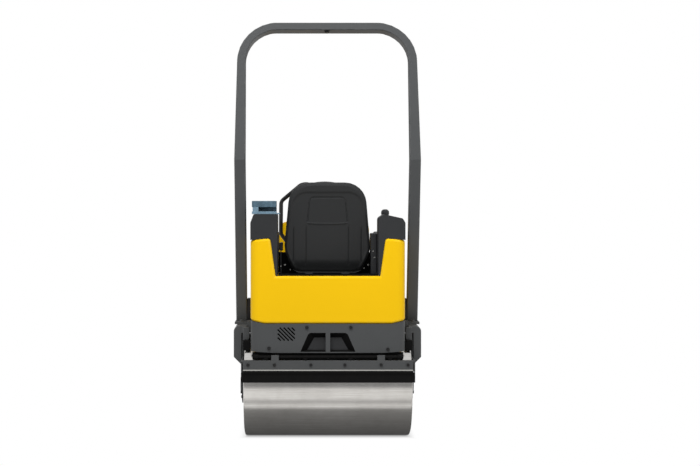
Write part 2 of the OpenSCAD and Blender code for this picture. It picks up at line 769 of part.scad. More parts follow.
// Engine block with a head and an air filter drum, inside the hood
module engine_block() color(grey) {
    block_w = hood_w - 190;
    block_l = hood_l - 295;
    block_h = hood_z - hood_z0 - 330;
    translate([0, hood_y0 + 130, deck_top]) {
        translate([-block_w / 2, 0, 0]) cube([block_w, block_l, block_h]);
        translate([60 - block_w / 2, 60, block_h - 1]) cube([block_w - 120, block_l - 120, 101]);
        translate([0, block_l / 2, block_h + 155]) bar_x(40 - block_w / 2, block_w / 2 - 90, 62);
    }
}

// Upright plate behind the engine
module firewall() color(yellow) end_view(hood_y0 - 15, hood_y0 - 7) polygon(rounded([
    [-hood_w / 2, deck_top, 0], [hood_w / 2, deck_top, 0], [hood_w / 2, hood_z - 6, hood_r],
    [-hood_w / 2, hood_z - 6, hood_r]
]));

// Work lamps on stalks at the front corners of the deck
module headlamps() color(black) both_sides() translate([hood_w / 2 + 58, hood_y1 - 70, deck_top]) {
    translate([-12, -12, 0]) cube([24, 24, 75]);
    translate([0, 0, 110]) bar_y(-35, 35, 44);
}

// Exhaust tail pipe beside the hood
module exhaust_pipe() color(steel) {
    x = hood_w / 2 + 60;
    y = hood_y0 + 110;
    pipe([[x, y, deck_top], [x, y, deck_top + 160], [x, y - 70, deck_top + 230]], 22, 45);
}

// Hood body inset by wall, running dip past its open rear and bottom
module hood_body(wall, dip) intersection() {
    side_view(-hood_w / 2, hood_w) polygon(rounded([
        [hood_y0 - dip, hood_z0 - dip, 0], [hood_y1 - wall, hood_z0 - dip, 0],
        [hood_y1 - wall, hood_z - 266 - wall / 2, 50], [hood_y1 - 45 - wall, hood_z - 186 - wall / 2, 60],
        [hood_y1 - 305, hood_z - wall, 120], [hood_y0 - dip, hood_z - wall, 0]
    ]));
    end_view(hood_y0 - dip, hood_y1) polygon(rounded([
        [wall - hood_w / 2, hood_z0 - dip, 0], [hood_w / 2 - wall, hood_z0 - dip, 0],
        [hood_w / 2 - wall, hood_z - wall, hood_r - wall], [wall - hood_w / 2, hood_z - wall, hood_r - wall]
    ]));
}

// Hood shell with the grille opening, and two hinge lugs with pins at its front edge
module hood_shell() color(yellow) {
    difference() {
        hood_body(0, 0);
        hood_body(hood_wall, 1);
        end_view(hood_y1 - hood_wall - 1, hood_y1 + 1) translate([-grille_w / 2, hood_z0 + 60])
            square([grille_w, grille_h]);
    }
    both_sides() {
        side_view(hinge_x - 12, 11) {
            translate([hinge_y, hood_z0]) circle(14);
            translate([hinge_y - 14, hood_z0]) square([hood_y1 - hinge_y + 14 - hood_wall / 2, 45]);
        }
        translate([0, hinge_y, hood_z0]) bar_x(hinge_x - 2, hinge_x + 13, hinge_pin_r);
    }
}

// Slotted plate behind the grille opening
module hood_grille() color(black) end_view(hood_y1 - hood_wall - 6, hood_y1 - hood_wall)
    translate([-grille_w / 2, hood_z0 + 60]) difference() {
        translate([-15, -15]) square([grille_w + 30, grille_h + 30]);
        for (i = [0:5]) translate([20, grille_h * (i + 0.25) / 6]) square([grille_w - 40, grille_h / 12]);
    }

rear_chassis();
rear_side_plates();
rear_beams();
hoop_pedestals();
rear_drum_carriers();
tank_cowl();
rear_panel();
rear_tow_eye();
console_left();
console_right();
seat_rails();
seat_cushion();
seat_back();
seat_shell();
rops_hoop();
platform_floor();
dash_column();
dash_panel();
grab_bar();
travel_lever();
document_holder();
rear_scraper_bar();
rear_scraper_blade();
rear_spray_pipe();
front_chassis();
front_side_plates();
front_deck();
front_drum_carriers();
front_panel();
front_tow_eye();
front_scraper_bar();
front_scraper_blade();
front_spray_pipe();
engine_block();
firewall();
headlamps();
exhaust_pipe();
hood_shell();
hood_grille();
pivot_knuckle();
steer_rod();
steering_wheel();
rear_drum();
front_drum();
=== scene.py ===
# The roller stands in one fixed frame, in metres: +X to the driver's right, +Y forward, +Z up and the
# ground at zero. The sections below dress that frame piece by piece, in the order of assembly.
import math

import bmesh
import bpy
from mathutils import Matrix, Vector
from mathutils.bvhtree import BVHTree


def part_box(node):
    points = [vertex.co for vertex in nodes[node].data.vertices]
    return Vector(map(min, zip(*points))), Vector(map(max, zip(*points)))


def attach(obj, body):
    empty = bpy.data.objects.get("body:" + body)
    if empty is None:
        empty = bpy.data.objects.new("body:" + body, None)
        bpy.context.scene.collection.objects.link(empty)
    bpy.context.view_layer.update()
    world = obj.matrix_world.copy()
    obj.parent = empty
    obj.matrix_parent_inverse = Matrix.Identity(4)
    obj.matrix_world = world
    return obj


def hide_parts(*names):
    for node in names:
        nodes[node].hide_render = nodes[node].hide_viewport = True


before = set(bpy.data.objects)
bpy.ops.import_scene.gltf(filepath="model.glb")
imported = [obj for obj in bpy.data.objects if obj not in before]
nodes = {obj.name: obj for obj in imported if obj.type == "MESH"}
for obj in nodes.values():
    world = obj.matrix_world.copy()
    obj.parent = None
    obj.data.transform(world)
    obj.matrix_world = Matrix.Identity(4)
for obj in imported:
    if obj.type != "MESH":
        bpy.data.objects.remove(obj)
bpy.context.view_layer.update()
scene = bpy.context.scene
scene.view_settings.view_transform = "Standard"

# The camera stands level behind the roller, a little left of its centre line, on a long lens.
# The shifts put the machine's centre line and the horizon on their own column and row of the frame.
FRAME_WIDTH = 700
FRAME_HEIGHT = 466
FOCAL_PIXELS = 1112
AXIS_COLUMN = 305.4
HORIZON_ROW = 209
CAMERA_PLACE = (-0.12, -6.88, 1.25)
camera = bpy.data.cameras.new("photo_camera")
camera.sensor_width = 36
camera.lens = FOCAL_PIXELS / FRAME_WIDTH * camera.sensor_width
camera.shift_x = (FRAME_WIDTH / 2 - AXIS_COLUMN) / FRAME_WIDTH
camera.shift_y = (HORIZON_ROW - FRAME_HEIGHT / 2) / FRAME_WIDTH
camera.clip_end = 200
camera_object = bpy.data.objects.new("photo_camera", camera)
camera_object.location = CAMERA_PLACE
camera_object.rotation_euler = (math.radians(90), 0, 0)
scene.collection.objects.link(camera_object)
scene.camera = camera_object

# A plain pale studio: a matt floor that fades to white beside the machine, a white surround and three large
# soft lamps, one high behind the roller, one at its side and one ahead. In reflections the floor shows a
# painted yard: painted shade next to the machine, a darker line further out and bright ground beyond.


def shader(name):
    """A new material with its nodes, its links and its surface shader."""
    made = bpy.data.materials.new(name)
    made.use_nodes = True
    tree = made.node_tree
    return made, tree, tree.nodes["Principled BSDF"]


def put(tree, kind, **values):
    """A node of that kind, with its properties and its inputs set by name."""
    made = tree.nodes.new(kind)
    for key, value in values.items():
        label = key.replace("_", " ")
        if label in made.inputs:
            made.inputs[label].default_value = value
        else:
            setattr(made, key, value)
    return made


def wire(tree, pairs):
    """Links each output to the input beside it."""
    for source, target in pairs:
        tree.links.new(source, target)


FLOOR_HALF = 40
FLOOR_COLOUR = (0.86, 0.86, 0.86, 1)
STAND_HALF = (0.41, 0.70, 1.0)
FADE = (0.98, 1.20)
BOUNCE_LIGHT = 0.45
# The floor's painted light and shade seen in reflections, by distance from the machine
YARD_REACH = 4.0
YARD_TINT = (1.0, 0.985, 0.965)
PAINTED_YARD_SHADE = ((1.06, 0.06), (1.52, 0.26), (1.60, 0.28), (1.67, 1.0), (1.75, 1.0), (1.90, 0.46),
              (2.09, 0.95), (2.33, 1.1), (4.0, 1.02))
floor_mesh = bmesh.new()
bmesh.ops.create_grid(floor_mesh, x_segments=1, y_segments=1, size=FLOOR_HALF)
floor_data = bpy.data.meshes.new("studio_floor")
floor_mesh.to_mesh(floor_data)
floor_mesh.free()
floor = bpy.data.objects.new("studio_floor", floor_data)
scene.collection.objects.link(floor)
floor_paint, tree, surface = shader("studio_floor")
surface.inputs["Base Color"].default_value = FLOOR_COLOUR
surface.inputs["Roughness"].default_value = 0.9
surface.inputs["Specular IOR Level"].default_value = 0.1
place = put(tree, "ShaderNodeTexCoord")
share = put(tree, "ShaderNodeVectorMath", operation="DIVIDE")
share.inputs[1].default_value = STAND_HALF
outward = put(tree, "ShaderNodeVectorMath", operation="ABSOLUTE")
parts = put(tree, "ShaderNodeSeparateXYZ")
reach = put(tree, "ShaderNodeMath", operation="MAXIMUM")
fade = put(tree, "ShaderNodeMapRange", From_Min=FADE[0], From_Max=FADE[1], interpolation_type="SMOOTHSTEP")
white = put(tree, "ShaderNodeEmission", Strength=1.0)
mix = put(tree, "ShaderNodeMixShader")
yard_place = put(tree, "ShaderNodeMath", operation="DIVIDE", use_clamp=True)
yard_place.inputs[1].default_value = YARD_REACH
painted_yard = put(tree, "ShaderNodeValToRGB")
while len(painted_yard.color_ramp.elements) < len(PAINTED_YARD_SHADE):
    painted_yard.color_ramp.elements.new(1.0)
for stop, (spot, light) in zip(painted_yard.color_ramp.elements, PAINTED_YARD_SHADE):
    stop.position = spot / YARD_REACH
    stop.color = [light * tint for tint in YARD_TINT] + [1]
painted_reflection = put(tree, "ShaderNodeEmission", Strength=1.0)
bounce = put(tree, "ShaderNodeEmission", Strength=BOUNCE_LIGHT)
path = put(tree, "ShaderNodeLightPath")
unseen = put(tree, "ShaderNodeMixShader")
seen = put(tree, "ShaderNodeMixShader")
wire(tree, (
    (place.outputs["Object"], share.inputs[0]),
    (share.outputs["Vector"], outward.inputs[0]),
    (outward.outputs["Vector"], parts.inputs["Vector"]),
    (parts.outputs["X"], reach.inputs[0]),
    (parts.outputs["Y"], reach.inputs[1]),
    (reach.outputs["Value"], fade.inputs["Value"]),
    (fade.outputs["Result"], mix.inputs["Fac"]),
    (surface.outputs["BSDF"], mix.inputs[1]),
    (white.outputs["Emission"], mix.inputs[2]),
    (reach.outputs["Value"], yard_place.inputs[0]),
    (yard_place.outputs["Value"], painted_yard.inputs["Fac"]),
    (painted_yard.outputs["Color"], painted_reflection.inputs["Color"]),
    (path.outputs["Is Glossy Ray"], unseen.inputs["Fac"]),
    (bounce.outputs["Emission"], unseen.inputs[1]),
    (painted_reflection.outputs["Emission"], unseen.inputs[2]),
    (path.outputs["Is Camera Ray"], seen.inputs["Fac"]),
    (unseen.outputs["Shader"], seen.inputs[1]),
    (mix.outputs["Shader"], seen.inputs[2]),
    (seen.outputs["Shader"], tree.nodes["Material Output"].inputs["Surface"]),
))
floor_data.materials.append(floor_paint)

SURROUND_LIGHT = 0.49
HORIZON_LIGHT = 0.26
SKY_LIGHT = 0.95
SKY_RISE = (0.16, 0.5)
world = bpy.data.worlds.new("studio")
world.use_nodes = True
scene.world = world
tree = world.node_tree
background = tree.nodes["Background"]
background.inputs["Color"].default_value = (1, 1, 1, 1)
place = put(tree, "ShaderNodeTexCoord")
parts = put(tree, "ShaderNodeSeparateXYZ")
sky = put(tree, "ShaderNodeMapRange", From_Min=SKY_RISE[0], From_Max=SKY_RISE[1], To_Min=HORIZON_LIGHT,
          To_Max=SKY_LIGHT)
path = put(tree, "ShaderNodeLightPath")
lit = put(tree, "ShaderNodeMix", data_type="FLOAT")
lit.inputs[2].default_value = SURROUND_LIGHT
shown = put(tree, "ShaderNodeMath", operation="MAXIMUM")
level = put(tree, "ShaderNodeMix", data_type="FLOAT")
level.inputs[3].default_value = 1.0
wire(tree, (
    (place.outputs["Generated"], parts.inputs["Vector"]),
    (parts.outputs["Z"], sky.inputs["Value"]),
    (path.outputs["Is Glossy Ray"], lit.inputs[0]),
    (sky.outputs["Result"], lit.inputs[3]),
    (path.outputs["Is Camera Ray"], shown.inputs[0]),
    (path.outputs["Is Transmission Ray"], shown.inputs[1]),
    (shown.outputs["Value"], level.inputs[0]),
    (lit.outputs[0], level.inputs[2]),
    (level.outputs[0], background.inputs["Strength"]),
))

LAMP_SIZE = 3.0
LAMP_AIM = Vector((0, 0, 0.9))
LAMPS = {
    "key_lamp": ((-1.0, -4.2, 5.8), 268),
    "fill_lamp": ((3.6, -3.2, 3.0), 40),
    "far_lamp": ((0.5, 4.5, 4.2), 90),
}
for name, (spot, power) in LAMPS.items():
    lamp = bpy.data.lights.new(name, "AREA")
    lamp.size = LAMP_SIZE
    lamp.energy = power
    holder = bpy.data.objects.new(name, lamp)
    holder.location = spot
    holder.rotation_euler = (LAMP_AIM - Vector(spot)).to_track_quat("-Z", "Y").to_euler()
    holder.visible_glossy = False
    scene.collection.objects.link(holder)


# The two drums are rolled and turned steel shells with a bevelled rim, a recessed disc welded in each
# end and a bored hub. Rolling keeps them bright, with fine scratches along their width.


def finish_piece(shape, name, material, body, stands_for=(), sharp=32):
    """The mesh shape as a piece that rides on body, smooth up to the sharp angle in degrees."""
    shape.normal_update()
    for side in shape.faces:
        side.smooth = True
    for edge in shape.edges:
        edge.smooth = len(edge.link_faces) != 2 or edge.calc_face_angle(0) < math.radians(sharp)
    data = bpy.data.meshes.new(name)
    shape.to_mesh(data)
    shape.free()
    data.materials.append(material)
    made = bpy.data.objects.new(name, data)
    scene.collection.objects.link(made)
    level_light = made.modifiers.new("level_light", "WEIGHTED_NORMAL")
    level_light.keep_sharp = True
    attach(made, body)
    if stands_for:
        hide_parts(*stands_for)
    return made


def effect(name, inputs, outputs):
    """An empty node group with those sockets, and its input and output nodes."""
    group = bpy.data.node_groups.new(name, "ShaderNodeTree")
    for label, kind in inputs.items():
        group.interface.new_socket(label, in_out="INPUT", socket_type=kind)
    for label, kind in outputs.items():
        group.interface.new_socket(label, in_out="OUTPUT", socket_type=kind)
    return group, group.nodes.new("NodeGroupInput"), group.nodes.new("NodeGroupOutput")


FLOAT = "NodeSocketFloat"
COLOUR = "NodeSocketColor"
VECTOR = "NodeSocketVector"

# Patches of lighter and darker tone, dust that settles on top faces and low down, and worn edges
weather, given, made = effect(
    "weather",
    {"Colour": COLOUR, "Dust Colour": COLOUR, "Worn Colour": COLOUR, "Patch Scale": FLOAT, "Patchy": FLOAT,
     "Dust": FLOAT, "Wear": FLOAT, "Rough Low": FLOAT, "Rough High": FLOAT},
    {"Colour": COLOUR, "Roughness": FLOAT},
)
place = put(weather, "ShaderNodeTexCoord")
patches = put(weather, "ShaderNodeTexNoise", Detail=6.0, Roughness=0.62)
swing = put(weather, "ShaderNodeMapRange", From_Min=0.3, From_Max=0.7, To_Min=-1.0, To_Max=1.0)
tone = put(weather, "ShaderNodeMath", operation="MULTIPLY_ADD")
tone.inputs[2].default_value = 1.0
tinted = put(weather, "ShaderNodeVectorMath", operation="SCALE")
rough = put(weather, "ShaderNodeMapRange", From_Min=0.3, From_Max=0.7)
facing = put(weather, "ShaderNodeNewGeometry")
normal_parts = put(weather, "ShaderNodeSeparateXYZ")
place_parts = put(weather, "ShaderNodeSeparateXYZ")
on_top = put(weather, "ShaderNodeMapRange", From_Min=0.2, From_Max=1.0, To_Max=0.8)
low_down = put(weather, "ShaderNodeMapRange", From_Min=0.55, From_Max=0.1, To_Max=0.6)
lying = put(weather, "ShaderNodeMath", operation="ADD")
specks = put(weather, "ShaderNodeTexNoise", Scale=55.0, Detail=8.0, Roughness=0.7)
speckle = put(weather, "ShaderNodeMapRange", From_Min=0.42, From_Max=0.72)
dusted = put(weather, "ShaderNodeMath", operation="MULTIPLY")
dust_share = put(weather, "ShaderNodeMath", operation="MULTIPLY", use_clamp=True)
dusty = put(weather, "ShaderNodeMix", data_type="RGBA")
edge = put(weather, "ShaderNodeAttribute", attribute_name="edge")
rub = put(weather, "ShaderNodeTexNoise", Scale=30.0, Detail=6.0)
rubbed = put(weather, "ShaderNodeMapRange", From_Min=0.42, From_Max=0.62)
edge_rub = put(weather, "ShaderNodeMath", operation="MULTIPLY")
wear_share = put(weather, "ShaderNodeMath", operation="MULTIPLY", use_clamp=True)
worn = put(weather, "ShaderNodeMix", data_type="RGBA")
wire(weather, (
    (place.outputs["Object"], patches.inputs["Vector"]),
    (given.outputs["Patch Scale"], patches.inputs["Scale"]),
    (patches.outputs["Fac"], swing.inputs["Value"]),
    (swing.outputs["Result"], tone.inputs[0]),
    (given.outputs["Patchy"], tone.inputs[1]),
    (given.outputs["Colour"], tinted.inputs["Vector"]),
    (tone.outputs["Value"], tinted.inputs["Scale"]),
    (patches.outputs["Fac"], rough.inputs["Value"]),
    (given.outputs["Rough Low"], rough.inputs["To Min"]),
    (given.outputs["Rough High"], rough.inputs["To Max"]),
    (facing.outputs["Normal"], normal_parts.inputs["Vector"]),
    (place.outputs["Object"], place_parts.inputs["Vector"]),
    (normal_parts.outputs["Z"], on_top.inputs["Value"]),
    (place_parts.outputs["Z"], low_down.inputs["Value"]),
    (on_top.outputs["Result"], lying.inputs[0]),
    (low_down.outputs["Result"], lying.inputs[1]),
    (place.outputs["Object"], specks.inputs["Vector"]),
    (specks.outputs["Fac"], speckle.inputs["Value"]),
    (lying.outputs["Value"], dusted.inputs[0]),
    (speckle.outputs["Result"], dusted.inputs[1]),
    (dusted.outputs["Value"], dust_share.inputs[0]),
    (given.outputs["Dust"], dust_share.inputs[1]),
    (dust_share.outputs["Value"], dusty.inputs["Factor"]),
    (tinted.outputs["Vector"], dusty.inputs[6]),
    (given.outputs["Dust Colour"], dusty.inputs[7]),
    (place.outputs["Object"], rub.inputs["Vector"]),
    (rub.outputs["Fac"], rubbed.inputs["Value"]),
    (edge.outputs["Fac"], edge_rub.inputs[0]),
    (rubbed.outputs["Result"], edge_rub.inputs[1]),
    (edge_rub.outputs["Value"], wear_share.inputs[0]),
    (given.outputs["Wear"], wear_share.inputs[1]),
    (wear_share.outputs["Value"], worn.inputs["Factor"]),
    (dusty.outputs[2], worn.inputs[6]),
    (given.outputs["Worn Colour"], worn.inputs[7]),
    (worn.outputs[2], made.inputs["Colour"]),
    (rough.outputs["Result"], made.inputs["Roughness"]),
))

# Fine unevenness of a coat or a skin, as a normal
skin, given, made = effect("skin", {"Scale": FLOAT, "Depth": FLOAT}, {"Normal": VECTOR})
place = put(skin, "ShaderNodeTexCoord")
fine = put(skin, "ShaderNodeTexNoise", Detail=4.0, Roughness=0.55)
relief = put(skin, "ShaderNodeBump", Strength=0.6)
wire(skin, (
    (place.outputs["Object"], fine.inputs["Vector"]),
    (given.outputs["Scale"], fine.inputs["Scale"]),
    (fine.outputs["Fac"], relief.inputs["Height"]),
    (given.outputs["Depth"], relief.inputs["Distance"]),
    (relief.outputs["Normal"], made.inputs["Normal"]),
))

DRUM_STEEL = (0.66, 0.65, 0.635, 1)
DRUM_STEEL_DULL = (0.53, 0.52, 0.50, 1)
drum_steel, tree, surface = shader("drum_steel")
surface.inputs["Metallic"].default_value = 1.0
place = put(tree, "ShaderNodeTexCoord")
stretch = put(tree, "ShaderNodeMapping", Scale=(0.5, 60.0, 60.0))
streaks = put(tree, "ShaderNodeTexNoise", Scale=6.0, Detail=8.0, Roughness=0.7)
blotches = put(tree, "ShaderNodeTexNoise", Scale=5.0, Detail=7.0, Roughness=0.65)
both = put(tree, "ShaderNodeMath", operation="MULTIPLY")
dull = put(tree, "ShaderNodeMapRange", From_Min=0.16, From_Max=0.36)
colour = put(tree, "ShaderNodeMix", data_type="RGBA")
colour.inputs[6].default_value = DRUM_STEEL_DULL
colour.inputs[7].default_value = DRUM_STEEL
gloss = put(tree, "ShaderNodeMapRange", From_Min=0.25, From_Max=0.75, To_Min=0.27, To_Max=0.13)
relief = put(tree, "ShaderNodeBump", Strength=0.12, Distance=0.0004)
wire(tree, (
    (place.outputs["Object"], stretch.inputs["Vector"]),
    (stretch.outputs["Vector"], streaks.inputs["Vector"]),
    (place.outputs["Object"], blotches.inputs["Vector"]),
    (streaks.outputs["Fac"], both.inputs[0]),
    (blotches.outputs["Fac"], both.inputs[1]),
    (both.outputs["Value"], dull.inputs["Value"]),
    (dull.outputs["Result"], colour.inputs["Factor"]),
    (colour.outputs[2], surface.inputs["Base Color"]),
    (streaks.outputs["Fac"], gloss.inputs["Value"]),
    (gloss.outputs["Result"], surface.inputs["Roughness"]),
    (streaks.outputs["Fac"], relief.inputs["Height"]),
    (relief.outputs["Normal"], surface.inputs["Normal"]),
))

DRUM_STEPS = 192
RIM_BEVEL = 0.008
SHELL_WALL = 0.014
SHELL_EDGE = 0.001
DISC_FACE = 0.095
DISC_WALL = 0.015
HUB_RADIUS = 0.055
HUB_HEIGHT = 0.020
HUB_FILLET = 0.004
HUB_EDGE = 0.002
HUB_BORE = 0.03006
WELD_LEG = 0.008


def corners(node):
    """The two corners of a node's box."""
    return [Vector(corner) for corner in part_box(node)]


def centre_line(node):
    """The point on the roller's centre line at the middle of a node."""
    low, high = corners(node)
    return Vector((0, (low.y + high.y) / 2, (low.z + high.z) / 2))


def along(axis):
    """A turn that takes the z axis to axis."""
    return Vector((0, 0, 1)).rotation_difference(Vector(axis)).to_matrix().to_4x4()


def turn_outline(shape, outline, place, steps, closed=False):
    """Turns an outline of radii and heights about the z axis of place."""
    line = [shape.verts.new(place @ Vector((radius, 0, height))) for radius, height in outline]
    pairs = list(zip(line, line[1:])) + ([(line[-1], line[0])] if closed else [])
    edges = [shape.edges.new(pair) for pair in pairs]
    bmesh.ops.spin(shape, geom=line + edges, cent=place.to_translation(), axis=place.col[2].to_3d(),
                   angle=math.tau, steps=steps, use_merge=True)


def close_up(shape, dist=1e-6):
    """Merges a turned shape's seam and poles, and points its faces outwards."""
    bmesh.ops.remove_doubles(shape, verts=shape.verts, dist=dist)
    bmesh.ops.recalc_face_normals(shape, faces=shape.faces)


for node, body in (("rear_drum", "rear_roll"), ("front_drum", "front_roll")):
    low, high = corners(node)
    half = high.x
    radius = (high.z - low.z) / 2
    face = half - DISC_FACE
    inner = radius - SHELL_WALL
    right_half = [
        (radius, half - RIM_BEVEL), (radius - RIM_BEVEL * 0.3, half - RIM_BEVEL * 0.3),
        (radius - RIM_BEVEL, half), (inner + SHELL_EDGE, half), (inner, half - SHELL_EDGE),
        (inner, face + WELD_LEG), (inner - WELD_LEG, face), (HUB_RADIUS + HUB_FILLET, face),
        (HUB_RADIUS, face + HUB_FILLET), (HUB_RADIUS, face + HUB_HEIGHT - HUB_EDGE),
        (HUB_RADIUS - HUB_EDGE, face + HUB_HEIGHT), (HUB_BORE, face + HUB_HEIGHT),
        (HUB_BORE, face - DISC_WALL), (inner, face - DISC_WALL),
    ]
    left_half = [(r, -x) for r, x in reversed(right_half)]
    shape = bmesh.new()
    turn_outline(shape, right_half + left_half, Matrix.Translation(centre_line(node)) @ along((1, 0, 0)),
                 DRUM_STEPS, True)
    close_up(shape, 1e-5)
    finish_piece(shape, node + "_turned", drum_steel, body, (node,), 25)

# The frames are welded from thick steel plate and painted dark grey: two chassis boxes, the side plates
# with their bearing housings, the beams over the rear drum and the shoulders that carry the hoop.


DUST = (0.30, 0.27, 0.23, 1)


def toned(tree, colour, worn, patch, dusting, wear, gloss, patchy=0.1, dust=DUST):
    """The weather group in a material, with its values."""
    tones = put(tree, "ShaderNodeGroup", node_tree=weather)
    for label, value in (
        ("Colour", colour), ("Dust Colour", dust), ("Worn Colour", worn), ("Patch Scale", patch),
        ("Patchy", patchy), ("Dust", dusting), ("Wear", wear), ("Rough Low", gloss[0]),
        ("Rough High", gloss[1]),
    ):
        tones.inputs[label].default_value = value
    return tones


def weathered(name, colour, worn, scale, depth, shine=0.3, metal=0.0, **looks):
    """A material of one colour with patches, dust, worn edges and a fine uneven skin."""
    made, tree, surface = shader(name)
    tones = toned(tree, colour, worn, **looks)
    surface.inputs["Specular IOR Level"].default_value = shine
    surface.inputs["Metallic"].default_value = metal
    coat = put(tree, "ShaderNodeGroup", node_tree=skin)
    coat.inputs["Scale"].default_value = scale
    coat.inputs["Depth"].default_value = depth
    wire(tree, (
        (tones.outputs["Colour"], surface.inputs["Base Color"]),
        (tones.outputs["Roughness"], surface.inputs["Roughness"]),
        (coat.outputs["Normal"], surface.inputs["Normal"]),
    ))
    return made


def dress(material, *names):
    """Puts a material on those nodes of the frame."""
    for name in names:
        for place in nodes[name].material_slots:
            place.material = material


def round_edges(shape, edges, width, segments=2, clamp=False):
    """Rounds those edges of a shape."""
    return bmesh.ops.bevel(shape, geom=edges, offset=width, offset_type="OFFSET", affect="EDGES",
                           segments=segments, profile=0.5, material=-1, clamp_overlap=clamp)


def softened(node, width, segments=3, steep=40, without=None, above=-1.0, merge=1e-5):
    """A merged copy of a node's mesh, less the points named by without, its steep edges rounded and marked.

    Only edges that reach higher than above are rounded, and in full if there is such a level.
    """
    shape = bmesh.new()
    shape.from_mesh(nodes[node].data)
    bmesh.ops.remove_doubles(shape, verts=shape.verts, dist=merge)
    if without:
        bmesh.ops.delete(shape, geom=[v for v in shape.verts if without(v.co)], context="VERTS")
        bmesh.ops.holes_fill(shape, edges=[e for e in shape.edges if e.is_boundary], sides=0)
    bmesh.ops.dissolve_limit(shape, angle_limit=math.radians(0.5), verts=shape.verts, edges=shape.edges)
    steep_edges = [e for e in shape.edges if len(e.link_faces) == 2
                   and e.calc_face_angle(0) > math.radians(steep) and max(v.co.z for v in e.verts) > above]
    rounds = round_edges(shape, steep_edges, width, segments, above < 0)
    mark = shape.loops.layers.float.new("edge")
    for side in rounds["faces"]:
        for corner in side.loops:
            corner[mark] = 1.0
    bmesh.ops.triangulate(shape, faces=[side for side in shape.faces if len(side.verts) > 4])
    return shape


def add_box(shape, low, high, bevel, segments=2):
    """A box between two corners, with rounded edges."""
    low, high = Vector(low), Vector(high)
    made = bmesh.ops.create_cube(shape, size=1.0, matrix=Matrix.Translation((low + high) / 2)
                                 @ Matrix.Diagonal((high - low).to_4d()))
    round_edges(shape, list({e for v in made["verts"] for e in v.link_edges}), bevel, segments)


def add_disc(shape, place, radii, depth, segments=48):
    """A round disc or taper of that depth, centred on place along its z axis."""
    return bmesh.ops.create_cone(shape, cap_ends=True, segments=segments, radius1=radii[0], radius2=radii[1],
                                 depth=depth, matrix=place)


# Shares of a bolt's radius, and the taper of its washer
HEAD_HIGH = 0.75
HEAD_ROUND = 0.16
WASHER_HIGH = 0.18
WASHER_TAPER = 0.94
WASHER_STEPS = 24


def add_bolt(shape, spot, axis, radius, washer=0.0):
    """A hexagon bolt head standing on spot along axis, on a washer if it has one."""
    turn = Matrix.Translation(spot) @ along(axis)
    base = 0.0
    if washer:
        base = radius * WASHER_HIGH
        add_disc(shape, turn @ Matrix.Translation((0, 0, base / 2)), (washer, washer * WASHER_TAPER), base,
                 WASHER_STEPS)
    middle = base + radius * HEAD_HIGH / 2
    head = add_disc(shape, turn @ Matrix.Translation((0, 0, middle)), (radius, radius), radius * HEAD_HIGH, 6)
    top = [e for e in {e for v in head["verts"] for e in v.link_edges}
           if all((v.co - Vector(spot)).dot(Vector(axis)) > middle for v in e.verts)]
    round_edges(shape, top, radius * HEAD_ROUND)


GREY = (0.067, 0.070, 0.072, 1)
GREY_WORN = (0.13, 0.132, 0.134, 1)
grey_paint = weathered("grey_paint", GREY, GREY_WORN, scale=420, depth=0.0003, shine=0.32, patch=3.0,
                       dusting=0.16, wear=0.5, gloss=(0.38, 0.5), patchy=0.06)
BLACK = (0.009, 0.009, 0.0095, 1)
BLACK_WORN = (0.07, 0.07, 0.07, 1)
black_paint = weathered("black_paint", BLACK, BLACK_WORN, scale=420, depth=0.0004, patch=6.0, dusting=0.08,
                        wear=0.4, gloss=(0.36, 0.5))
dress(grey_paint, "rear_chassis", "front_chassis", "rear_side_plates", "front_side_plates", "rear_beams",
      "rear_drum_carriers", "front_drum_carriers", "pivot_knuckle", "front_deck")
finish_piece(softened("hoop_pedestals", 0.006), "hoop_shoulders", grey_paint, "rear_frame",
             ("hoop_pedestals",))

ZINC = (0.50, 0.50, 0.48, 1)
ZINC_WORN = (0.62, 0.62, 0.60, 1)
bolt_zinc = weathered("bolt_zinc", ZINC, ZINC_WORN, scale=300, depth=0.0003, metal=0.9, patch=40.0,
                      dusting=0.25, wear=0.0, gloss=(0.32, 0.5))
CAP_RADIUS = 0.052
CAP_TAPER = 0.86
CAP_HEIGHT = 0.010
RING_RADIUS = 0.072
RING_BOLTS = 6
BOLT_RADIUS = 0.009
BOLT_WASHER = 0.013
for name in ("rear", "front"):
    body = name + "_frame"
    outer = corners(name + "_side_plates")[1].x
    caps = bmesh.new()
    bolts = bmesh.new()
    for side in (-1, 1):
        face = centre_line(name + "_drum_carriers") + Vector((side * outer, 0, 0))
        add_disc(caps, Matrix.Translation(face + Vector((side * CAP_HEIGHT / 2, 0, 0))) @ along((side, 0, 0)),
                 (CAP_RADIUS, CAP_RADIUS * CAP_TAPER), CAP_HEIGHT)
        for i in range(RING_BOLTS):
            turn = math.tau * (i + 0.5) / RING_BOLTS
            spot = face + Vector((0, math.cos(turn), math.sin(turn))) * RING_RADIUS
            add_bolt(bolts, spot, (side, 0, 0), BOLT_RADIUS, BOLT_WASHER)
    finish_piece(caps, name + "_bearing_caps", grey_paint, body)
    finish_piece(bolts, name + "_bearing_bolts", black_paint, body)

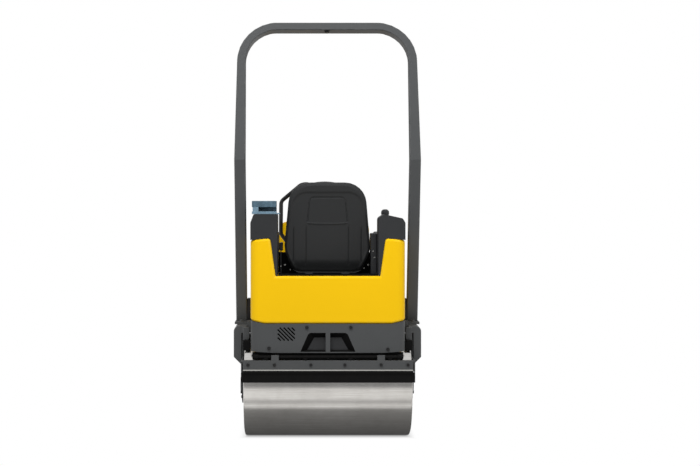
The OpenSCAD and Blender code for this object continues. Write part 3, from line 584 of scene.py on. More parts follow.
# The platform is a sheet of tread plate on the rear chassis, pressed with crossed lozenges and painted
# black. Boots rub the tops of the lozenges bare.
TREAD_PITCH = 0.045
LOZENGE_SHAPE = 2.2
tread_plate, tree, surface = shader("tread_plate")
tones = toned(tree, BLACK, BLACK_WORN, patch=4.0, dusting=0.6, wear=0.5, gloss=(0.4, 0.6))
place = put(tree, "ShaderNodeTexCoord")
height = None
for turn in (45, -45):
    lay = put(tree, "ShaderNodeMapping", Rotation=(0, 0, math.radians(turn)),
              Scale=(1 / TREAD_PITCH, LOZENGE_SHAPE / TREAD_PITCH, 1))
    cells = put(tree, "ShaderNodeTexVoronoi", Scale=1.0, Randomness=0.0, voronoi_dimensions="2D")
    lozenge = put(tree, "ShaderNodeMapRange", From_Min=0.34, From_Max=0.24, interpolation_type="SMOOTHSTEP")
    wire(tree, (
        (place.outputs["Object"], lay.inputs["Vector"]),
        (lay.outputs["Vector"], cells.inputs["Vector"]),
        (cells.outputs["Distance"], lozenge.inputs["Value"]),
    ))
    if height is None:
        height = lozenge.outputs["Result"]
    else:
        checker = put(tree, "ShaderNodeMath", operation="MAXIMUM")
        wire(tree, ((height, checker.inputs[0]), (lozenge.outputs["Result"], checker.inputs[1])))
        height = checker.outputs["Value"]
relief = put(tree, "ShaderNodeBump", Strength=0.8, Distance=0.002)
tops = put(tree, "ShaderNodeMix", data_type="RGBA")
tops.inputs[7].default_value = BLACK_WORN
wire(tree, (
    (height, relief.inputs["Height"]),
    (height, tops.inputs["Factor"]),
    (tones.outputs["Colour"], tops.inputs[6]),
    (tops.outputs[2], surface.inputs["Base Color"]),
    (tones.outputs["Roughness"], surface.inputs["Roughness"]),
    (relief.outputs["Normal"], surface.inputs["Normal"]),
))
dress(tread_plate, "platform_floor")

# The rod of the steering cylinder is ground and chromed steel. It slides in the cylinder and ends in a forged
# fork round the knuckle's arm.
CHROME = (0.62, 0.62, 0.62, 1)
chrome = weathered("bright_steel", CHROME, ZINC_WORN, scale=160, depth=0.0002, metal=1.0, patch=30.0,
                   dusting=0.12, wear=0.0, gloss=(0.14, 0.24))
dress(chrome, "steer_rod")

# The tank cowl is one deep moulding in yellow plastic, with well rounded edges and a bay for the seat
# between its wings. It stands on the beams over the rear drum.
YELLOW = (0.98, 0.590, 0.0042, 1)
YELLOW_DUST = (0.74, 0.50, 0.08, 1)
YELLOW_WORN = (0.93, 0.62, 0.05, 1)
yellow_body = weathered("yellow_body", YELLOW, YELLOW_WORN, scale=260, depth=0.0003, shine=0.12, patch=1.6,
                        dusting=0.12, wear=0.3, gloss=(0.34, 0.44), patchy=0.02, dust=YELLOW_DUST)
finish_piece(softened("tank_cowl", 0.014, 4), "tank_cowl_moulding", yellow_body, "rear_frame",
             ("tank_cowl",))

# The end panels are pressed steel under the cowl line and the deck, bent round at their ends, with a recess
# for the lashing lug that is a little wider at its top than in the CAD. Black sheets line the recess as
# painted shade. The rear one has a louvre of seven slots, which end on a flat oblong instead of the CAD's
# circle.
RECESS_TOP_X = (0.055, 0.100)
RECESS_TOP_Z = (0.570, 0.606)
RECESS_WIDER = 0.022
LOUVRE_SPOT = Vector((-0.222, 0, 0.583))
LOUVRE_RADIUS = 0.046
LOUVRE_RIM = 0.004
SLOT_PITCH = 0.013
SLOT_HALF = 0.00325
SLOT_ACROSS = Vector((1, 0, 1)).normalized()
SLOT_ALONG = Vector((1, 0, -1)).normalized()
WIDER_PITCH = 0.015
WIDER_SLOT = 0.00075
OBLONG_HALF = Vector((0.046, 0.035)) * math.sqrt(2)
FLAT_WITHIN = 2e-5


def spread_slots(pressing):
    """Sets the louvre's slots further apart, a little wider, and lets them end on the oblong."""
    depths = []
    for point in pressing.verts:
        spot = point.co - LOUVRE_SPOT
        u, v = spot.dot(SLOT_ACROSS), spot.dot(SLOT_ALONG)
        if math.hypot(u, v) > LOUVRE_RADIUS + LOUVRE_RIM:
            continue
        slot = round(u / SLOT_PITCH)
        off = u - slot * SLOT_PITCH
        edge = slot * SLOT_PITCH + max(-SLOT_HALF, min(SLOT_HALF, off))
        beyond = abs(v) - math.sqrt(LOUVRE_RADIUS ** 2 - edge ** 2)
        end = 1 if v > 0 else -1
        middle = slot * WIDER_PITCH
        reach = min(OBLONG_HALF.x - end * middle, OBLONG_HALF.y + end * middle)
        new_u = middle + off + math.copysign(WIDER_SLOT, off)
        point.co += (new_u - u) * SLOT_ACROSS + (end * (reach + beyond) - v) * SLOT_ALONG
        depths.append(point.co.y)
    for plane, outward in ((min(depths), -1), (max(depths), 1)):
        fill_flat(pressing, plane, outward)
    bmesh.ops.recalc_face_normals(pressing, faces=pressing.faces)


def fill_flat(pressing, plane, outward):
    """Fills a flat side of the panel afresh round its moved slots."""
    def lies_flat(piece):
        return all(abs(point.co.y - plane) < FLAT_WITHIN for point in piece.verts)

    bmesh.ops.delete(pressing, geom=[face for face in pressing.faces if lies_flat(face)], context="FACES")
    rims = [edge for edge in pressing.edges if edge.is_boundary and lies_flat(edge)]
    bmesh.ops.triangle_fill(pressing, edges=rims, use_beauty=True, normal=(0, outward, 0))


for name in ("rear", "front"):
    pressing = softened(name + "_panel", 0.002, 2)
    for point in pressing.verts:
        side, high = abs(point.co.x), point.co.z
        if RECESS_TOP_X[0] < side < RECESS_TOP_X[1] and RECESS_TOP_Z[0] < high < RECESS_TOP_Z[1]:
            point.co.x += RECESS_WIDER * (1 if point.co.x > 0 else -1)
    if name == "rear":
        spread_slots(pressing)
    finish_piece(pressing, name + "_panel_pressing", grey_paint, name + "_frame",
                 (name + "_panel",))
    finish_piece(softened(name + "_tow_eye", 0.003, 2), name + "_tow_eye_forging", grey_paint,
                 name + "_frame", (name + "_tow_eye",))
PANEL_BOLTS = {
    "rear": ((-0.112, 0.619), (0.122, 0.619), (-0.314, 0.508), (0.320, 0.503)),
    "front": ((-0.112, 0.600), (0.122, 0.600), (-0.314, 0.508), (0.320, 0.503)),
}
PANEL_BOLT_RADIUS = 0.010
RECESS_MOUTH = ((-0.1465, 0.4893), (0.1465, 0.4893), (0.0995, 0.5897), (-0.0995, 0.5897))
RECESS_BACK = ((-0.110, 0.496), (0.110, 0.496), (0.073, 0.562), (-0.073, 0.562))
RECESS_DEEP = 0.0315
SHADE_LINING_SUNK = 0.0003
SHADE_LINING_WALL = 0.0012
SHADE_DISC_DEEP = 0.014
SHADE_DISC_RADIUS = 0.056
SHADE_DISC_WALL = 0.002
SHADE_FLAP_HALF = 0.403
SHADE_FLAP_DEEP = (0.015, 0.020)
SHADE_FLAP_DROP = 0.036
SHADE_FLAP_LAP = 0.003
SHEET_EDGE = 0.001
RUBBER = (0.005, 0.005, 0.005, 1)
RUBBER_WORN = (0.03, 0.03, 0.03, 1)
black_rubber = weathered("black_rubber", RUBBER, RUBBER_WORN, scale=90, depth=0.0006, shine=0.08, patch=8.0,
                         dusting=0.03, wear=0.3, gloss=(0.5, 0.65), patchy=0.2)
PLASTIC = (0.030, 0.031, 0.033, 1)
PLASTIC_WORN = (0.065, 0.066, 0.068, 1)
black_plastic = weathered("black_plastic", PLASTIC, PLASTIC_WORN, scale=700, depth=0.0005, shine=0.25,
                          patch=5.0, dusting=0.06, wear=0.4, gloss=(0.42, 0.54), patchy=0.06)
ENDS = (("rear", "rear_frame", -1), ("front", "front_frame", 1))
for name, body, outward in ENDS:
    low, high = corners(name + "_panel")
    face = low.y if outward < 0 else high.y
    bolts = bmesh.new()
    for x, z in PANEL_BOLTS[name]:
        add_bolt(bolts, Vector((x, face, z)), (0, outward, 0), PANEL_BOLT_RADIUS)
    finish_piece(bolts, name + "_panel_bolts", black_paint, body)
    # Black sheets on the walls and the back of the recess are painted shade.
    shade_lining = bmesh.new()
    rings = []
    for outline, grow, deep in (
        (RECESS_MOUTH, 0.0, SHADE_LINING_SUNK), (RECESS_BACK, 0.0, RECESS_DEEP),
        (RECESS_BACK, SHADE_LINING_WALL, RECESS_DEEP), (RECESS_MOUTH, SHADE_LINING_WALL, SHADE_LINING_SUNK),
    ):
        middle = (outline[0][1] + outline[2][1]) / 2
        rings.append([shade_lining.verts.new((x + math.copysign(grow, x), face - outward * deep,
                                        z + math.copysign(grow, z - middle))) for x, z in outline])
    for near, far in zip(rings, rings[1:] + rings[:1]):
        for i in range(len(near)):
            shade_lining.faces.new((near[i - 1], near[i], far[i], far[i - 1]))
    bmesh.ops.recalc_face_normals(shade_lining, faces=shade_lining.faces)
    finish_piece(shade_lining, name + "_recess_shade_lining", black_rubber, body, (), 15)
    shade_floor_sheet = bmesh.new()
    rings = [[shade_floor_sheet.verts.new((x, face - outward * deep, z)) for x, z in RECESS_BACK]
             for deep in (RECESS_DEEP - SHADE_LINING_WALL, RECESS_DEEP)]
    for i in range(len(RECESS_BACK)):
        shade_floor_sheet.faces.new((rings[0][i - 1], rings[0][i], rings[1][i], rings[1][i - 1]))
    for ring in rings:
        shade_floor_sheet.faces.new(ring)
    bmesh.ops.recalc_face_normals(shade_floor_sheet, faces=shade_floor_sheet.faces)
    finish_piece(shade_floor_sheet, name + "_recess_shade_floor", black_plastic, body, (), 15)
    # A black disc behind the louvre's slots is painted shade seen through them.
    if name == "rear":
        shade_disc = bmesh.new()
        spot = LOUVRE_SPOT + Vector((0, face - outward * SHADE_DISC_DEEP, 0))
        add_disc(shade_disc, Matrix.Translation(spot) @ along((0, 1, 0)), (SHADE_DISC_RADIUS, SHADE_DISC_RADIUS),
                 SHADE_DISC_WALL)
        finish_piece(shade_disc, "louvre_shade_disc", black_rubber, body)
    # A black rubber sheet under each panel fills the gap above the scraper as painted shade.
    shade_flap = bmesh.new()
    ends = sorted(face - outward * deep for deep in SHADE_FLAP_DEEP)
    add_box(shade_flap, (-SHADE_FLAP_HALF, ends[0], low.z - SHADE_FLAP_DROP), (SHADE_FLAP_HALF, ends[1], low.z + SHADE_FLAP_LAP),
            SHEET_EDGE)
    finish_piece(shade_flap, name + "_panel_shade_flap", black_rubber, body)

# A black rubber sheet hangs from the end plate of each shoulder as painted shade over the ends of the drum.
# It is bent to an angle.
SHADE_X = (0.416, 0.455)
SHADE_Y = (-0.902, -0.898, -0.837)
SHADE_Z = (0.489, 0.5345, 0.5385)
shades = bmesh.new()
for side in (-1, 1):
    across = sorted(side * x for x in SHADE_X)
    add_box(shades, (across[0], SHADE_Y[0], SHADE_Z[0]), (across[1], SHADE_Y[1], SHADE_Z[2]), SHEET_EDGE)
    add_box(shades, (across[0], SHADE_Y[0], SHADE_Z[1]), (across[1], SHADE_Y[2], SHADE_Z[2]), SHEET_EDGE)
finish_piece(shades, "shoulder_shades", black_rubber, "rear_frame")

# A scraper hangs at each end: a bent steel plate bolted to its arms and tabs, a rubber blade clamped
# behind it, and a plastic water pipe with small nozzles that wets the drum.
SCRAPER_BOLTS = (-0.424, -0.284, -0.091, 0.089, 0.281, 0.423)
SCRAPER_BOLT_HIGH = 0.425
SCRAPER_BOLT_RADIUS = 0.0092
SCRAPER_HEAD = 0.007
PLATE_WITHIN = 0.0005
SCRAPER_HALF = 0.4505
CLAMP_LOW = 0.3797
CLAMP_HIGH = 0.3935
BARE_AND_SHEEN_TOP = 0.3995
STRIP_SUNK = 0.002
NOZZLES = (-0.30, -0.15, 0.0, 0.15, 0.30)
NOZZLE_RADII = (0.008, 0.006)
NOZZLE_LONG = 0.022
NOZZLE_OUT = 0.014
NOZZLE_DROP = 0.004
NOZZLE_DIP = 0.3
for name, body, outward in ENDS:
    low, high = corners(name + "_scraper_bar")
    face = low.y + SCRAPER_HEAD if outward < 0 else high.y - SCRAPER_HEAD
    plate = softened(name + "_scraper_bar", 0.0015, 2,
                     without=lambda spot: (spot.y - face) * outward > PLATE_WITHIN)
    finish_piece(plate, name + "_scraper_plate", grey_paint, body, (name + "_scraper_bar",))
    bolts = bmesh.new()
    for x in SCRAPER_BOLTS:
        add_bolt(bolts, Vector((x, face, SCRAPER_BOLT_HIGH)), (0, outward, 0), SCRAPER_BOLT_RADIUS)
    finish_piece(bolts, name + "_scraper_bolts", black_paint, body)
    # The light strip along the plate's lower edge is bare worn metal and partly a painted highlight on its
    # bend.
    for strip, material, slot, proud, foot, top in (
        ("clamp", black_rubber, "black_rubber", 0.0008, CLAMP_LOW, CLAMP_HIGH),
        ("bare_and_sheen_edge", bolt_zinc, "bright_steel", 0.0006, CLAMP_HIGH, BARE_AND_SHEEN_TOP),
    ):
        made = bmesh.new()
        ends = sorted((face + outward * proud, face - outward * STRIP_SUNK))
        add_box(made, (-SCRAPER_HALF, ends[0], foot), (SCRAPER_HALF, ends[1], top), 0.0003)
        finish_piece(made, name + "_scraper_" + strip, material, body)
    finish_piece(softened(name + "_scraper_blade", 0.002, 2), name + "_scraper_rubber", black_rubber, body,
                 (name + "_scraper_blade",))
    dress(black_rubber, name + "_spray_pipe")
    pipe = centre_line(name + "_spray_pipe")
    nozzles = bmesh.new()
    for x in NOZZLES:
        spot = pipe + Vector((x, -outward * NOZZLE_OUT, -NOZZLE_DROP))
        add_disc(nozzles, Matrix.Translation(spot) @ along((0, -outward, -NOZZLE_DIP)), NOZZLE_RADII,
                 NOZZLE_LONG, 6)
    finish_piece(nozzles, name + "_spray_nozzles", black_plastic, body)

# The side consoles are black moulded plastic caps on the wings of the cowl, each with a liner down the
# side of the seat bay. Their edges are well rounded and their skin is finely grained.
for name in ("console_left", "console_right"):
    finish_piece(softened(name, 0.010, 4, 30), name + "_moulding", black_plastic, "rear_frame",
                 (name,))

# The roll-over hoop is square steel tube, drawn thinner to its top, bent at its corners, welded at its knees
# and painted grey. Its feet are flanges bolted to the shoulders, with a gusset inside each. A plug closes the
# drain hole under the top bar.
HOOP_HALF = 0.505
HOOP_CORNER = 0.195
HOOP_TOP = 0.790
HOOP_LEAN = math.radians(14)
HOOP_UP = Vector((0, math.sin(HOOP_LEAN), math.cos(HOOP_LEAN)))
KNEE = Vector((0, -0.844, 1.516))
WIDER_CORNER = 0.030
WIDE_RADIUS = HOOP_CORNER + WIDER_CORNER
TUBE_TAPER = 0.30
POST_TAPER = 0.010
ROUND_ABOVE = 0.64


def corner_of(side, up):
    """The way out of the bent tube at a point, its depth there and what the wider corner takes off."""
    bend = Vector((side - HOOP_HALF + HOOP_CORNER, up - HOOP_TOP + HOOP_CORNER))
    if min(bend) > 0:
        outward = bend.normalized()
        toward = WIDER_CORNER * (outward.x + outward.y)
        cut = HOOP_CORNER + toward - math.sqrt(toward ** 2 - 2 * WIDER_CORNER ** 2 + WIDE_RADIUS ** 2)
        return outward, HOOP_CORNER - bend.length, cut
    outward = Vector((1, 0)) if HOOP_HALF - side < HOOP_TOP - up else Vector((0, 1))
    short = max(0.0, WIDER_CORNER + min(bend))
    cut = WIDE_RADIUS - math.sqrt(WIDE_RADIUS ** 2 - short ** 2)
    return outward, min(HOOP_HALF - side, HOOP_TOP - up), cut


tube = softened("rops_hoop", 0.006, 6, 35, above=ROUND_ABOVE, merge=5e-4)
for share in (0.5, 1.0):
    start = HOOP_TOP - HOOP_CORNER - WIDER_CORNER * share
    across = HOOP_HALF - HOOP_CORNER - WIDER_CORNER * share
    for spot, normal in ((KNEE + HOOP_UP * start, HOOP_UP), (Vector((across, 0, 0)), Vector((1, 0, 0))),
                         (Vector((-across, 0, 0)), Vector((1, 0, 0)))):
        bmesh.ops.bisect_plane(tube, geom=tube.verts[:] + tube.edges[:] + tube.faces[:], plane_co=spot,
                               plane_no=normal)
for point in tube.verts:
    up = (point.co - KNEE).dot(HOOP_UP)
    if up > 0:
        outward, depth, cut = corner_of(abs(point.co.x), up)
        step = (depth * TUBE_TAPER - POST_TAPER * outward.x) * up / HOOP_TOP - cut
        point.co += HOOP_UP * outward.y * step
        point.co.x += outward.x * step * (1 if point.co.x > 0 else -1)
tube_sides = BVHTree.FromBMesh(tube)
finish_piece(tube, "hoop_tube", grey_paint, "rear_frame", ("rops_hoop",), 18)
FOOT_WALL = 0.012
FOOT_TOP = corners("rops_hoop")[0].z + FOOT_WALL
FOOT_BOLTS = (-0.065, 0.065)
FOOT_CENTRE = (0.475, -0.655)
GUSSET_X = (0.4165, 0.4448)
GUSSET_Y = (-0.695, -0.620)
GUSSET_HIGH = 0.125
PLUG_SPOT = Vector((0, -0.672, 2.10))
HOOP_BOLT = 0.012
HOOP_WASHER = 0.018
bolts = bmesh.new()
gussets = bmesh.new()
for side in (-1, 1):
    for step in FOOT_BOLTS:
        spot = Vector((side * FOOT_CENTRE[0], FOOT_CENTRE[1] + step, FOOT_TOP))
        add_bolt(bolts, spot, (0, 0, 1), HOOP_BOLT, HOOP_WASHER)
    across = sorted(side * x for x in GUSSET_X)
    add_box(gussets, (across[0], GUSSET_Y[0], FOOT_TOP),
            (across[1], GUSSET_Y[1], FOOT_TOP + GUSSET_HIGH), 0.003)
finish_piece(bolts, "hoop_foot_bolts", grey_paint, "rear_frame")
finish_piece(gussets, "hoop_gussets", black_paint, "rear_frame")
spot, normal = tube_sides.ray_cast(PLUG_SPOT, Vector((0, 0, 1)))[:2]
plug = bmesh.new()
add_bolt(plug, spot, normal, HOOP_BOLT, HOOP_WASHER)
finish_piece(plug, "hoop_drain_plug", black_paint, "rear_frame")

# The seat is a moulded shell and two foam pads in grained black vinyl. The back of the shell has a
# padded rim, a map pocket with a bound mouth and sewn channels down its length.


SWELL_FRAMES = 20


def padded_copy(node, inset, voxel):
    """A copy of a soft node's mesh, drawn in by inset and remeshed evenly, as an object."""
    shape = bmesh.new()
    shape.from_mesh(nodes[node].data)
    bmesh.ops.remove_doubles(shape, verts=shape.verts, dist=1e-5)
    low, high = corners(node)
    middle = (low + high) / 2
    share = [1 - 2 * inset / (high[i] - low[i]) for i in range(3)]
    bmesh.ops.scale(shape, vec=share, space=Matrix.Translation(-middle), verts=shape.verts)
    data = bpy.data.meshes.new(node + "_pad")
    shape.to_mesh(data)
    shape.free()
    made = bpy.data.objects.new(node + "_pad", data)
    scene.collection.objects.link(made)
    grid = made.modifiers.new("even", "REMESH")
    grid.mode = "VOXEL"
    grid.voxel_size = voxel
    apply_modifiers(made)
    return made


def apply_modifiers(made):
    """Puts the result of a piece's modifiers into its mesh."""
    bpy.context.view_layer.update()
    shown = made.evaluated_get(bpy.context.evaluated_depsgraph_get())
    done = bpy.data.meshes.new_from_object(shown)
    made.modifiers.clear()
    old = made.data
    made.data = done
    bpy.data.meshes.remove(old)


def swell(made, pressure, cap):
    """Blows a pad up as cloth, then keeps each point within cap of where it began."""
    start = [v.co.copy() for v in made.data.vertices]
    cloth = made.modifiers.new("cover", "CLOTH")
    cloth.settings.quality = 5
    cloth.settings.mass = 0.3
    cloth.settings.tension_stiffness = 12
    cloth.settings.compression_stiffness = 12
    cloth.settings.bending_stiffness = 0.6
    cloth.settings.use_pressure = True
    cloth.settings.uniform_pressure_force = pressure
    cloth.settings.effector_weights.gravity = 0
    cloth.collision_settings.use_collision = False
    cloth.point_cache.frame_start = 1
    cloth.point_cache.frame_end = SWELL_FRAMES
    for frame_number in range(1, SWELL_FRAMES + 1):
        scene.frame_set(frame_number)
    apply_modifiers(made)
    scene.frame_set(1)
    for point, begun in zip(made.data.vertices, start):
        step = point.co - begun
        if step.length > cap:
            point.co = begun + step * (cap / step.length)


VINYL = (0.026, 0.027, 0.028, 1)
VINYL_WORN = (0.05, 0.051, 0.053, 1)
seat_vinyl, tree, surface = shader("seat_vinyl")
surface.inputs["Specular IOR Level"].default_value = 0.22
tones = toned(tree, VINYL, VINYL_WORN, patch=6.0, dusting=0.04, wear=0.0, gloss=(0.42, 0.54), patchy=0.06)
place = put(tree, "ShaderNodeTexCoord")
grain = put(tree, "ShaderNodeTexVoronoi", Scale=420.0, feature="SMOOTH_F1")
relief = put(tree, "ShaderNodeBump", Strength=0.35, Distance=0.0006)
wire(tree, (
    (place.outputs["Object"], grain.inputs["Vector"]),
    (grain.outputs["Distance"], relief.inputs["Height"]),
    (tones.outputs["Colour"], surface.inputs["Base Color"]),
    (tones.outputs["Roughness"], surface.inputs["Roughness"]),
    (relief.outputs["Normal"], surface.inputs["Normal"]),
))

BACK_LEAN = math.radians(8)
BACK_FOOT = Vector((0, -0.755, 0.900))
BACK_UP = Vector((0, -math.sin(BACK_LEAN), math.cos(BACK_LEAN)))
BACK_OUT = Vector((0, -math.cos(BACK_LEAN), -math.sin(BACK_LEAN)))
BACK_HEIGHT = 0.500
BACK_HALF = 0.237
BACK_WIDEST = 0.13
FOOT_DRAW = 0.052
TOP_DRAW = 0.034
RIM_DEEP = 0.006
RIM_SIDE = 0.020
RIM_TOP = 0.050
RIM_CORNER = 0.075
RIM_BLEND = (-0.006, 0.010)
POCKET_LOW = 0.280
POCKET_HIGH = 0.420
POCKET_WIDE = 0.111
POCKET_NARROW = 0.096
POCKET_CORNER = 0.024
POCKET_DROOP = 0.005
POCKET_SEAM = 0.005
POCKET_SEAM_END = 0.010
SEAM_HALF = 0.005
BINDING = 0.0045
BINDING_HALF = 0.006
BINDING_END = (-0.002, 0.006)
CHANNELS = ((0.117, 0.040, 0.275), (0.187, 0.045, 0.265))
CHANNEL_SEAM = 0.004
CHANNEL_END = 0.02
FOOT_CURL = 0.018
FOOT_CURL_TOP = 0.080


def ramp(value, start, end):
    """A smooth step from 0 at start to 1 at end."""
    t = min(1.0, max(0.0, (value - start) / (end - start)))
    return t * t * (3 - 2 * t)


def trough(distance, half):
    """A rounded groove, 1 in its middle and 0 past half."""
    return 0.0 if abs(distance) > half else math.cos(distance / half * math.pi / 2) ** 2


def back_half_width(up):
    """Half the width of the backrest at a height, as its outline runs."""
    if up < BACK_WIDEST:
        return BACK_HALF - FOOT_DRAW * (1 - up / BACK_WIDEST)
    return BACK_HALF - TOP_DRAW * (up - BACK_WIDEST) / (BACK_HEIGHT - BACK_WIDEST)


def inside_of(side, up, half, top, corner):
    """How far a point lies inside an outline with that half width and a top with rounded corners."""
    over = side - (half - corner)
    above = up - (top - corner)
    if over > 0 and above > 0:
        return corner - math.hypot(over, above)
    return min(half - side, top - up)


def shell_dent(x, up):
    """How deep the back of the shell is pressed in at a point."""
    side = abs(x)
    to_rim = inside_of(side, up, back_half_width(up) - RIM_SIDE, BACK_HEIGHT - RIM_TOP, RIM_CORNER)
    dent = RIM_DEEP * ramp(to_rim, *RIM_BLEND) + FOOT_CURL * ramp(up, FOOT_CURL_TOP, 0)
    share = min(1.0, max(0.0, (up - POCKET_LOW) / (POCKET_HIGH - POCKET_LOW)))
    half = POCKET_WIDE + (POCKET_NARROW - POCKET_WIDE) * share
    to_pocket = inside_of(side, up, half, POCKET_HIGH, POCKET_CORNER)
    mouth = POCKET_LOW - POCKET_DROOP * max(0.0, 1 - (side / POCKET_WIDE) ** 2)
    dent += POCKET_SEAM * trough(to_pocket, SEAM_HALF) * ramp(up, mouth, mouth + POCKET_SEAM_END)
    dent -= BINDING * trough(up - mouth, BINDING_HALF) * ramp(POCKET_WIDE - side, *BINDING_END)
    for across, foot, top in CHANNELS:
        run = ramp(up, foot, foot + CHANNEL_END) * (1 - ramp(up, top - CHANNEL_END, top))
        dent += CHANNEL_SEAM * trough(side - across, SEAM_HALF) * run
    return dent


SHELL_VOXEL = 0.0035
SHELL_REAR = 0.012
seat_shell = padded_copy("seat_shell", 0.0, SHELL_VOXEL)
for point in seat_shell.data.vertices:
    arm = point.co - BACK_FOOT
    if arm.dot(BACK_OUT) > SHELL_REAR and point.co.z > BACK_FOOT.z:
        point.co -= BACK_OUT * shell_dent(point.co.x, arm.dot(BACK_UP))
smooth = bmesh.new()
smooth.from_mesh(seat_shell.data)
bmesh.ops.smooth_vert(smooth, verts=smooth.verts, factor=0.25, use_axis_x=True, use_axis_y=True,
                      use_axis_z=True)
bpy.data.objects.remove(seat_shell)
finish_piece(smooth, "seat_shell_cover", seat_vinyl, "rear_frame", ("seat_shell",), 60)

# The pads are foam under the same vinyl: a backrest pad against the shell and a thick cushion on the
# rails, both crowned and sewn with channels that part the bolsters from the middle.


def finish_pad(made, name, node):
    """A swollen pad as a finished piece in vinyl, with one subdivision."""
    made.name = name
    made.data.name = name
    made.data.materials.append(seat_vinyl)
    made.data.shade_smooth()
    round_off = made.modifiers.new("soft", "SUBSURF")
    round_off.levels = 1
    round_off.render_levels = 1
    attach(made, "rear_frame")
    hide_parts(node)


PAD_INSET = 0.010
PAD_VOXEL = 0.006
PAD_PRESSURE = 4.0
PAD_CAP = 0.022
CHANNEL_SIDE = 0.122
CHANNEL_HALF = 0.012
CHANNEL_DEEP = 0.010
PAD_CLEAR = 0.001
PAD_FRONT = 0.035
BACK_CROSS_SEAM = 0.25
BACK_SEAM_FOOT = (0.03, 0.08)
BACK_SEAM_TOP = (0.40, 0.46)
CUSHION_TOP = 0.06
SEAT_CROSS_SEAM = 0.30
SEAT_SEAM_REAR = (0.04, 0.12)
SEAT_SEAM_FRONT = (0.86, 0.95)
CROSS_SEAM_END = 0.01
back_pad = padded_copy("seat_back", PAD_INSET, PAD_VOXEL)
swell(back_pad, PAD_PRESSURE, PAD_CAP)
for point in back_pad.data.vertices:
    arm = point.co - BACK_FOOT
    front = -arm.dot(BACK_OUT)
    up = arm.dot(BACK_UP)
    side = abs(point.co.x)
    if front < PAD_CLEAR:
        point.co += -BACK_OUT * (PAD_CLEAR - front)
    if front > PAD_FRONT:
        sewn = trough(side - CHANNEL_SIDE, CHANNEL_HALF) * ramp(up, *BACK_SEAM_FOOT)
        sewn *= 1 - ramp(up, *BACK_SEAM_TOP)
        between = 1 - ramp(side, CHANNEL_SIDE - CROSS_SEAM_END, CHANNEL_SIDE)
        sewn = max(sewn, trough(up - BACK_CROSS_SEAM, CHANNEL_HALF) * between)
        point.co += BACK_OUT * CHANNEL_DEEP * sewn
finish_pad(back_pad, "seat_back_cover", "seat_back")

cushion = padded_copy("seat_cushion", PAD_INSET, PAD_VOXEL)
cushion_low, cushion_high = corners("seat_cushion")
swell(cushion, PAD_PRESSURE, PAD_CAP)
for point in cushion.data.vertices:
    along_seat = (point.co.y - cushion_low.y) / (cushion_high.y - cushion_low.y)
    side = abs(point.co.x)
    if point.co.z > cushion_low.z + CUSHION_TOP:
        sewn = trough(side - CHANNEL_SIDE, CHANNEL_HALF) * ramp(along_seat, *SEAT_SEAM_REAR)
        sewn *= 1 - ramp(along_seat, *SEAT_SEAM_FRONT)
        between = 1 - ramp(side, CHANNEL_SIDE - CROSS_SEAM_END, CHANNEL_SIDE)
        sewn = max(sewn, trough(point.co.y - cushion_low.y - SEAT_CROSS_SEAM, CHANNEL_HALF) * between)
        point.co.z -= CHANNEL_DEEP * sewn
    for i in range(3):
        point.co[i] = min(max(point.co[i], cushion_low[i]), cushion_high[i])
finish_pad(cushion, "seat_cushion_cover", "seat_cushion")

# The rails under the seat are black painted steel on a rubber mat, with a black plate between the backrest
# and the cushion. The belt's buckle stands on a stalk to the left of the seat and its reel in a plastic case
# to the right, both bolted to the floor of the bay.
dress(black_paint, "seat_rails")
BAY_FLOOR = 0.892
MAT_HALF = 0.2685
MAT_Y = (-0.935, -0.470)
MAT_HIGH = 0.003
MAT_SUNK = 0.001
mat = bmesh.new()
add_box(mat, (-MAT_HALF, MAT_Y[0], BAY_FLOOR - MAT_SUNK), (MAT_HALF, MAT_Y[1], BAY_FLOOR + MAT_HIGH),
        SHEET_EDGE)
finish_piece(mat, "bay_mat", black_rubber, "rear_frame")
PLATE_Y = (-0.692, -0.687)
PLATE_HIGH = 1.010
plate = bmesh.new()
add_box(plate, (-MAT_HALF, PLATE_Y[0], BAY_FLOOR), (MAT_HALF, PLATE_Y[1], PLATE_HIGH), SHEET_EDGE)
finish_piece(plate, "seat_plate", black_rubber, "rear_frame")
BELT_Y = -0.735
BELT_HALF = 0.022
STALK_X = (-0.258, -0.252)
STALK_HIGH = 1.030
BUCKLE_X = (-0.264, -0.244)
BUCKLE_Z = (1.020, 1.066)
BUCKLE_HALF = 0.026
REEL_X = (0.2375, 0.2695)
REEL_Y = (-0.800, -0.694)
REEL_HIGH = 1.117
belt = bmesh.new()
add_box(belt, (STALK_X[0], BELT_Y - BELT_HALF, BAY_FLOOR),
        (STALK_X[1], BELT_Y + BELT_HALF, STALK_HIGH), 0.002)
add_box(belt, (BUCKLE_X[0], BELT_Y - BUCKLE_HALF, BUCKLE_Z[0]),
        (BUCKLE_X[1], BELT_Y + BUCKLE_HALF, BUCKLE_Z[1]), 0.006)
add_box(belt, (REEL_X[0], REEL_Y[0], BAY_FLOOR), (REEL_X[1], REEL_Y[1], REEL_HIGH), 0.006)
finish_piece(belt, "seat_belt_gear", black_plastic, "rear_frame")
BELT_BOLTS = (
    (-0.255, BELT_Y - BELT_HALF, 0.935, 0.004), (0.250, REEL_Y[0], 1.020, 0.004),
    (0.258, REEL_Y[0], 0.985, 0.004), (-0.234, PLATE_Y[0], 0.940, 0.006),
    (-0.204, PLATE_Y[0], 0.912, 0.005), (0.229, PLATE_Y[0], 0.940, 0.006),
    (0.206, PLATE_Y[0], 0.921, 0.005),
)
bolts = bmesh.new()
for *spot, radius in BELT_BOLTS:
    add_bolt(bolts, Vector(spot), (0, -1, 0), radius)
finish_piece(bolts, "seat_belt_bolts", bolt_zinc, "rear_frame")

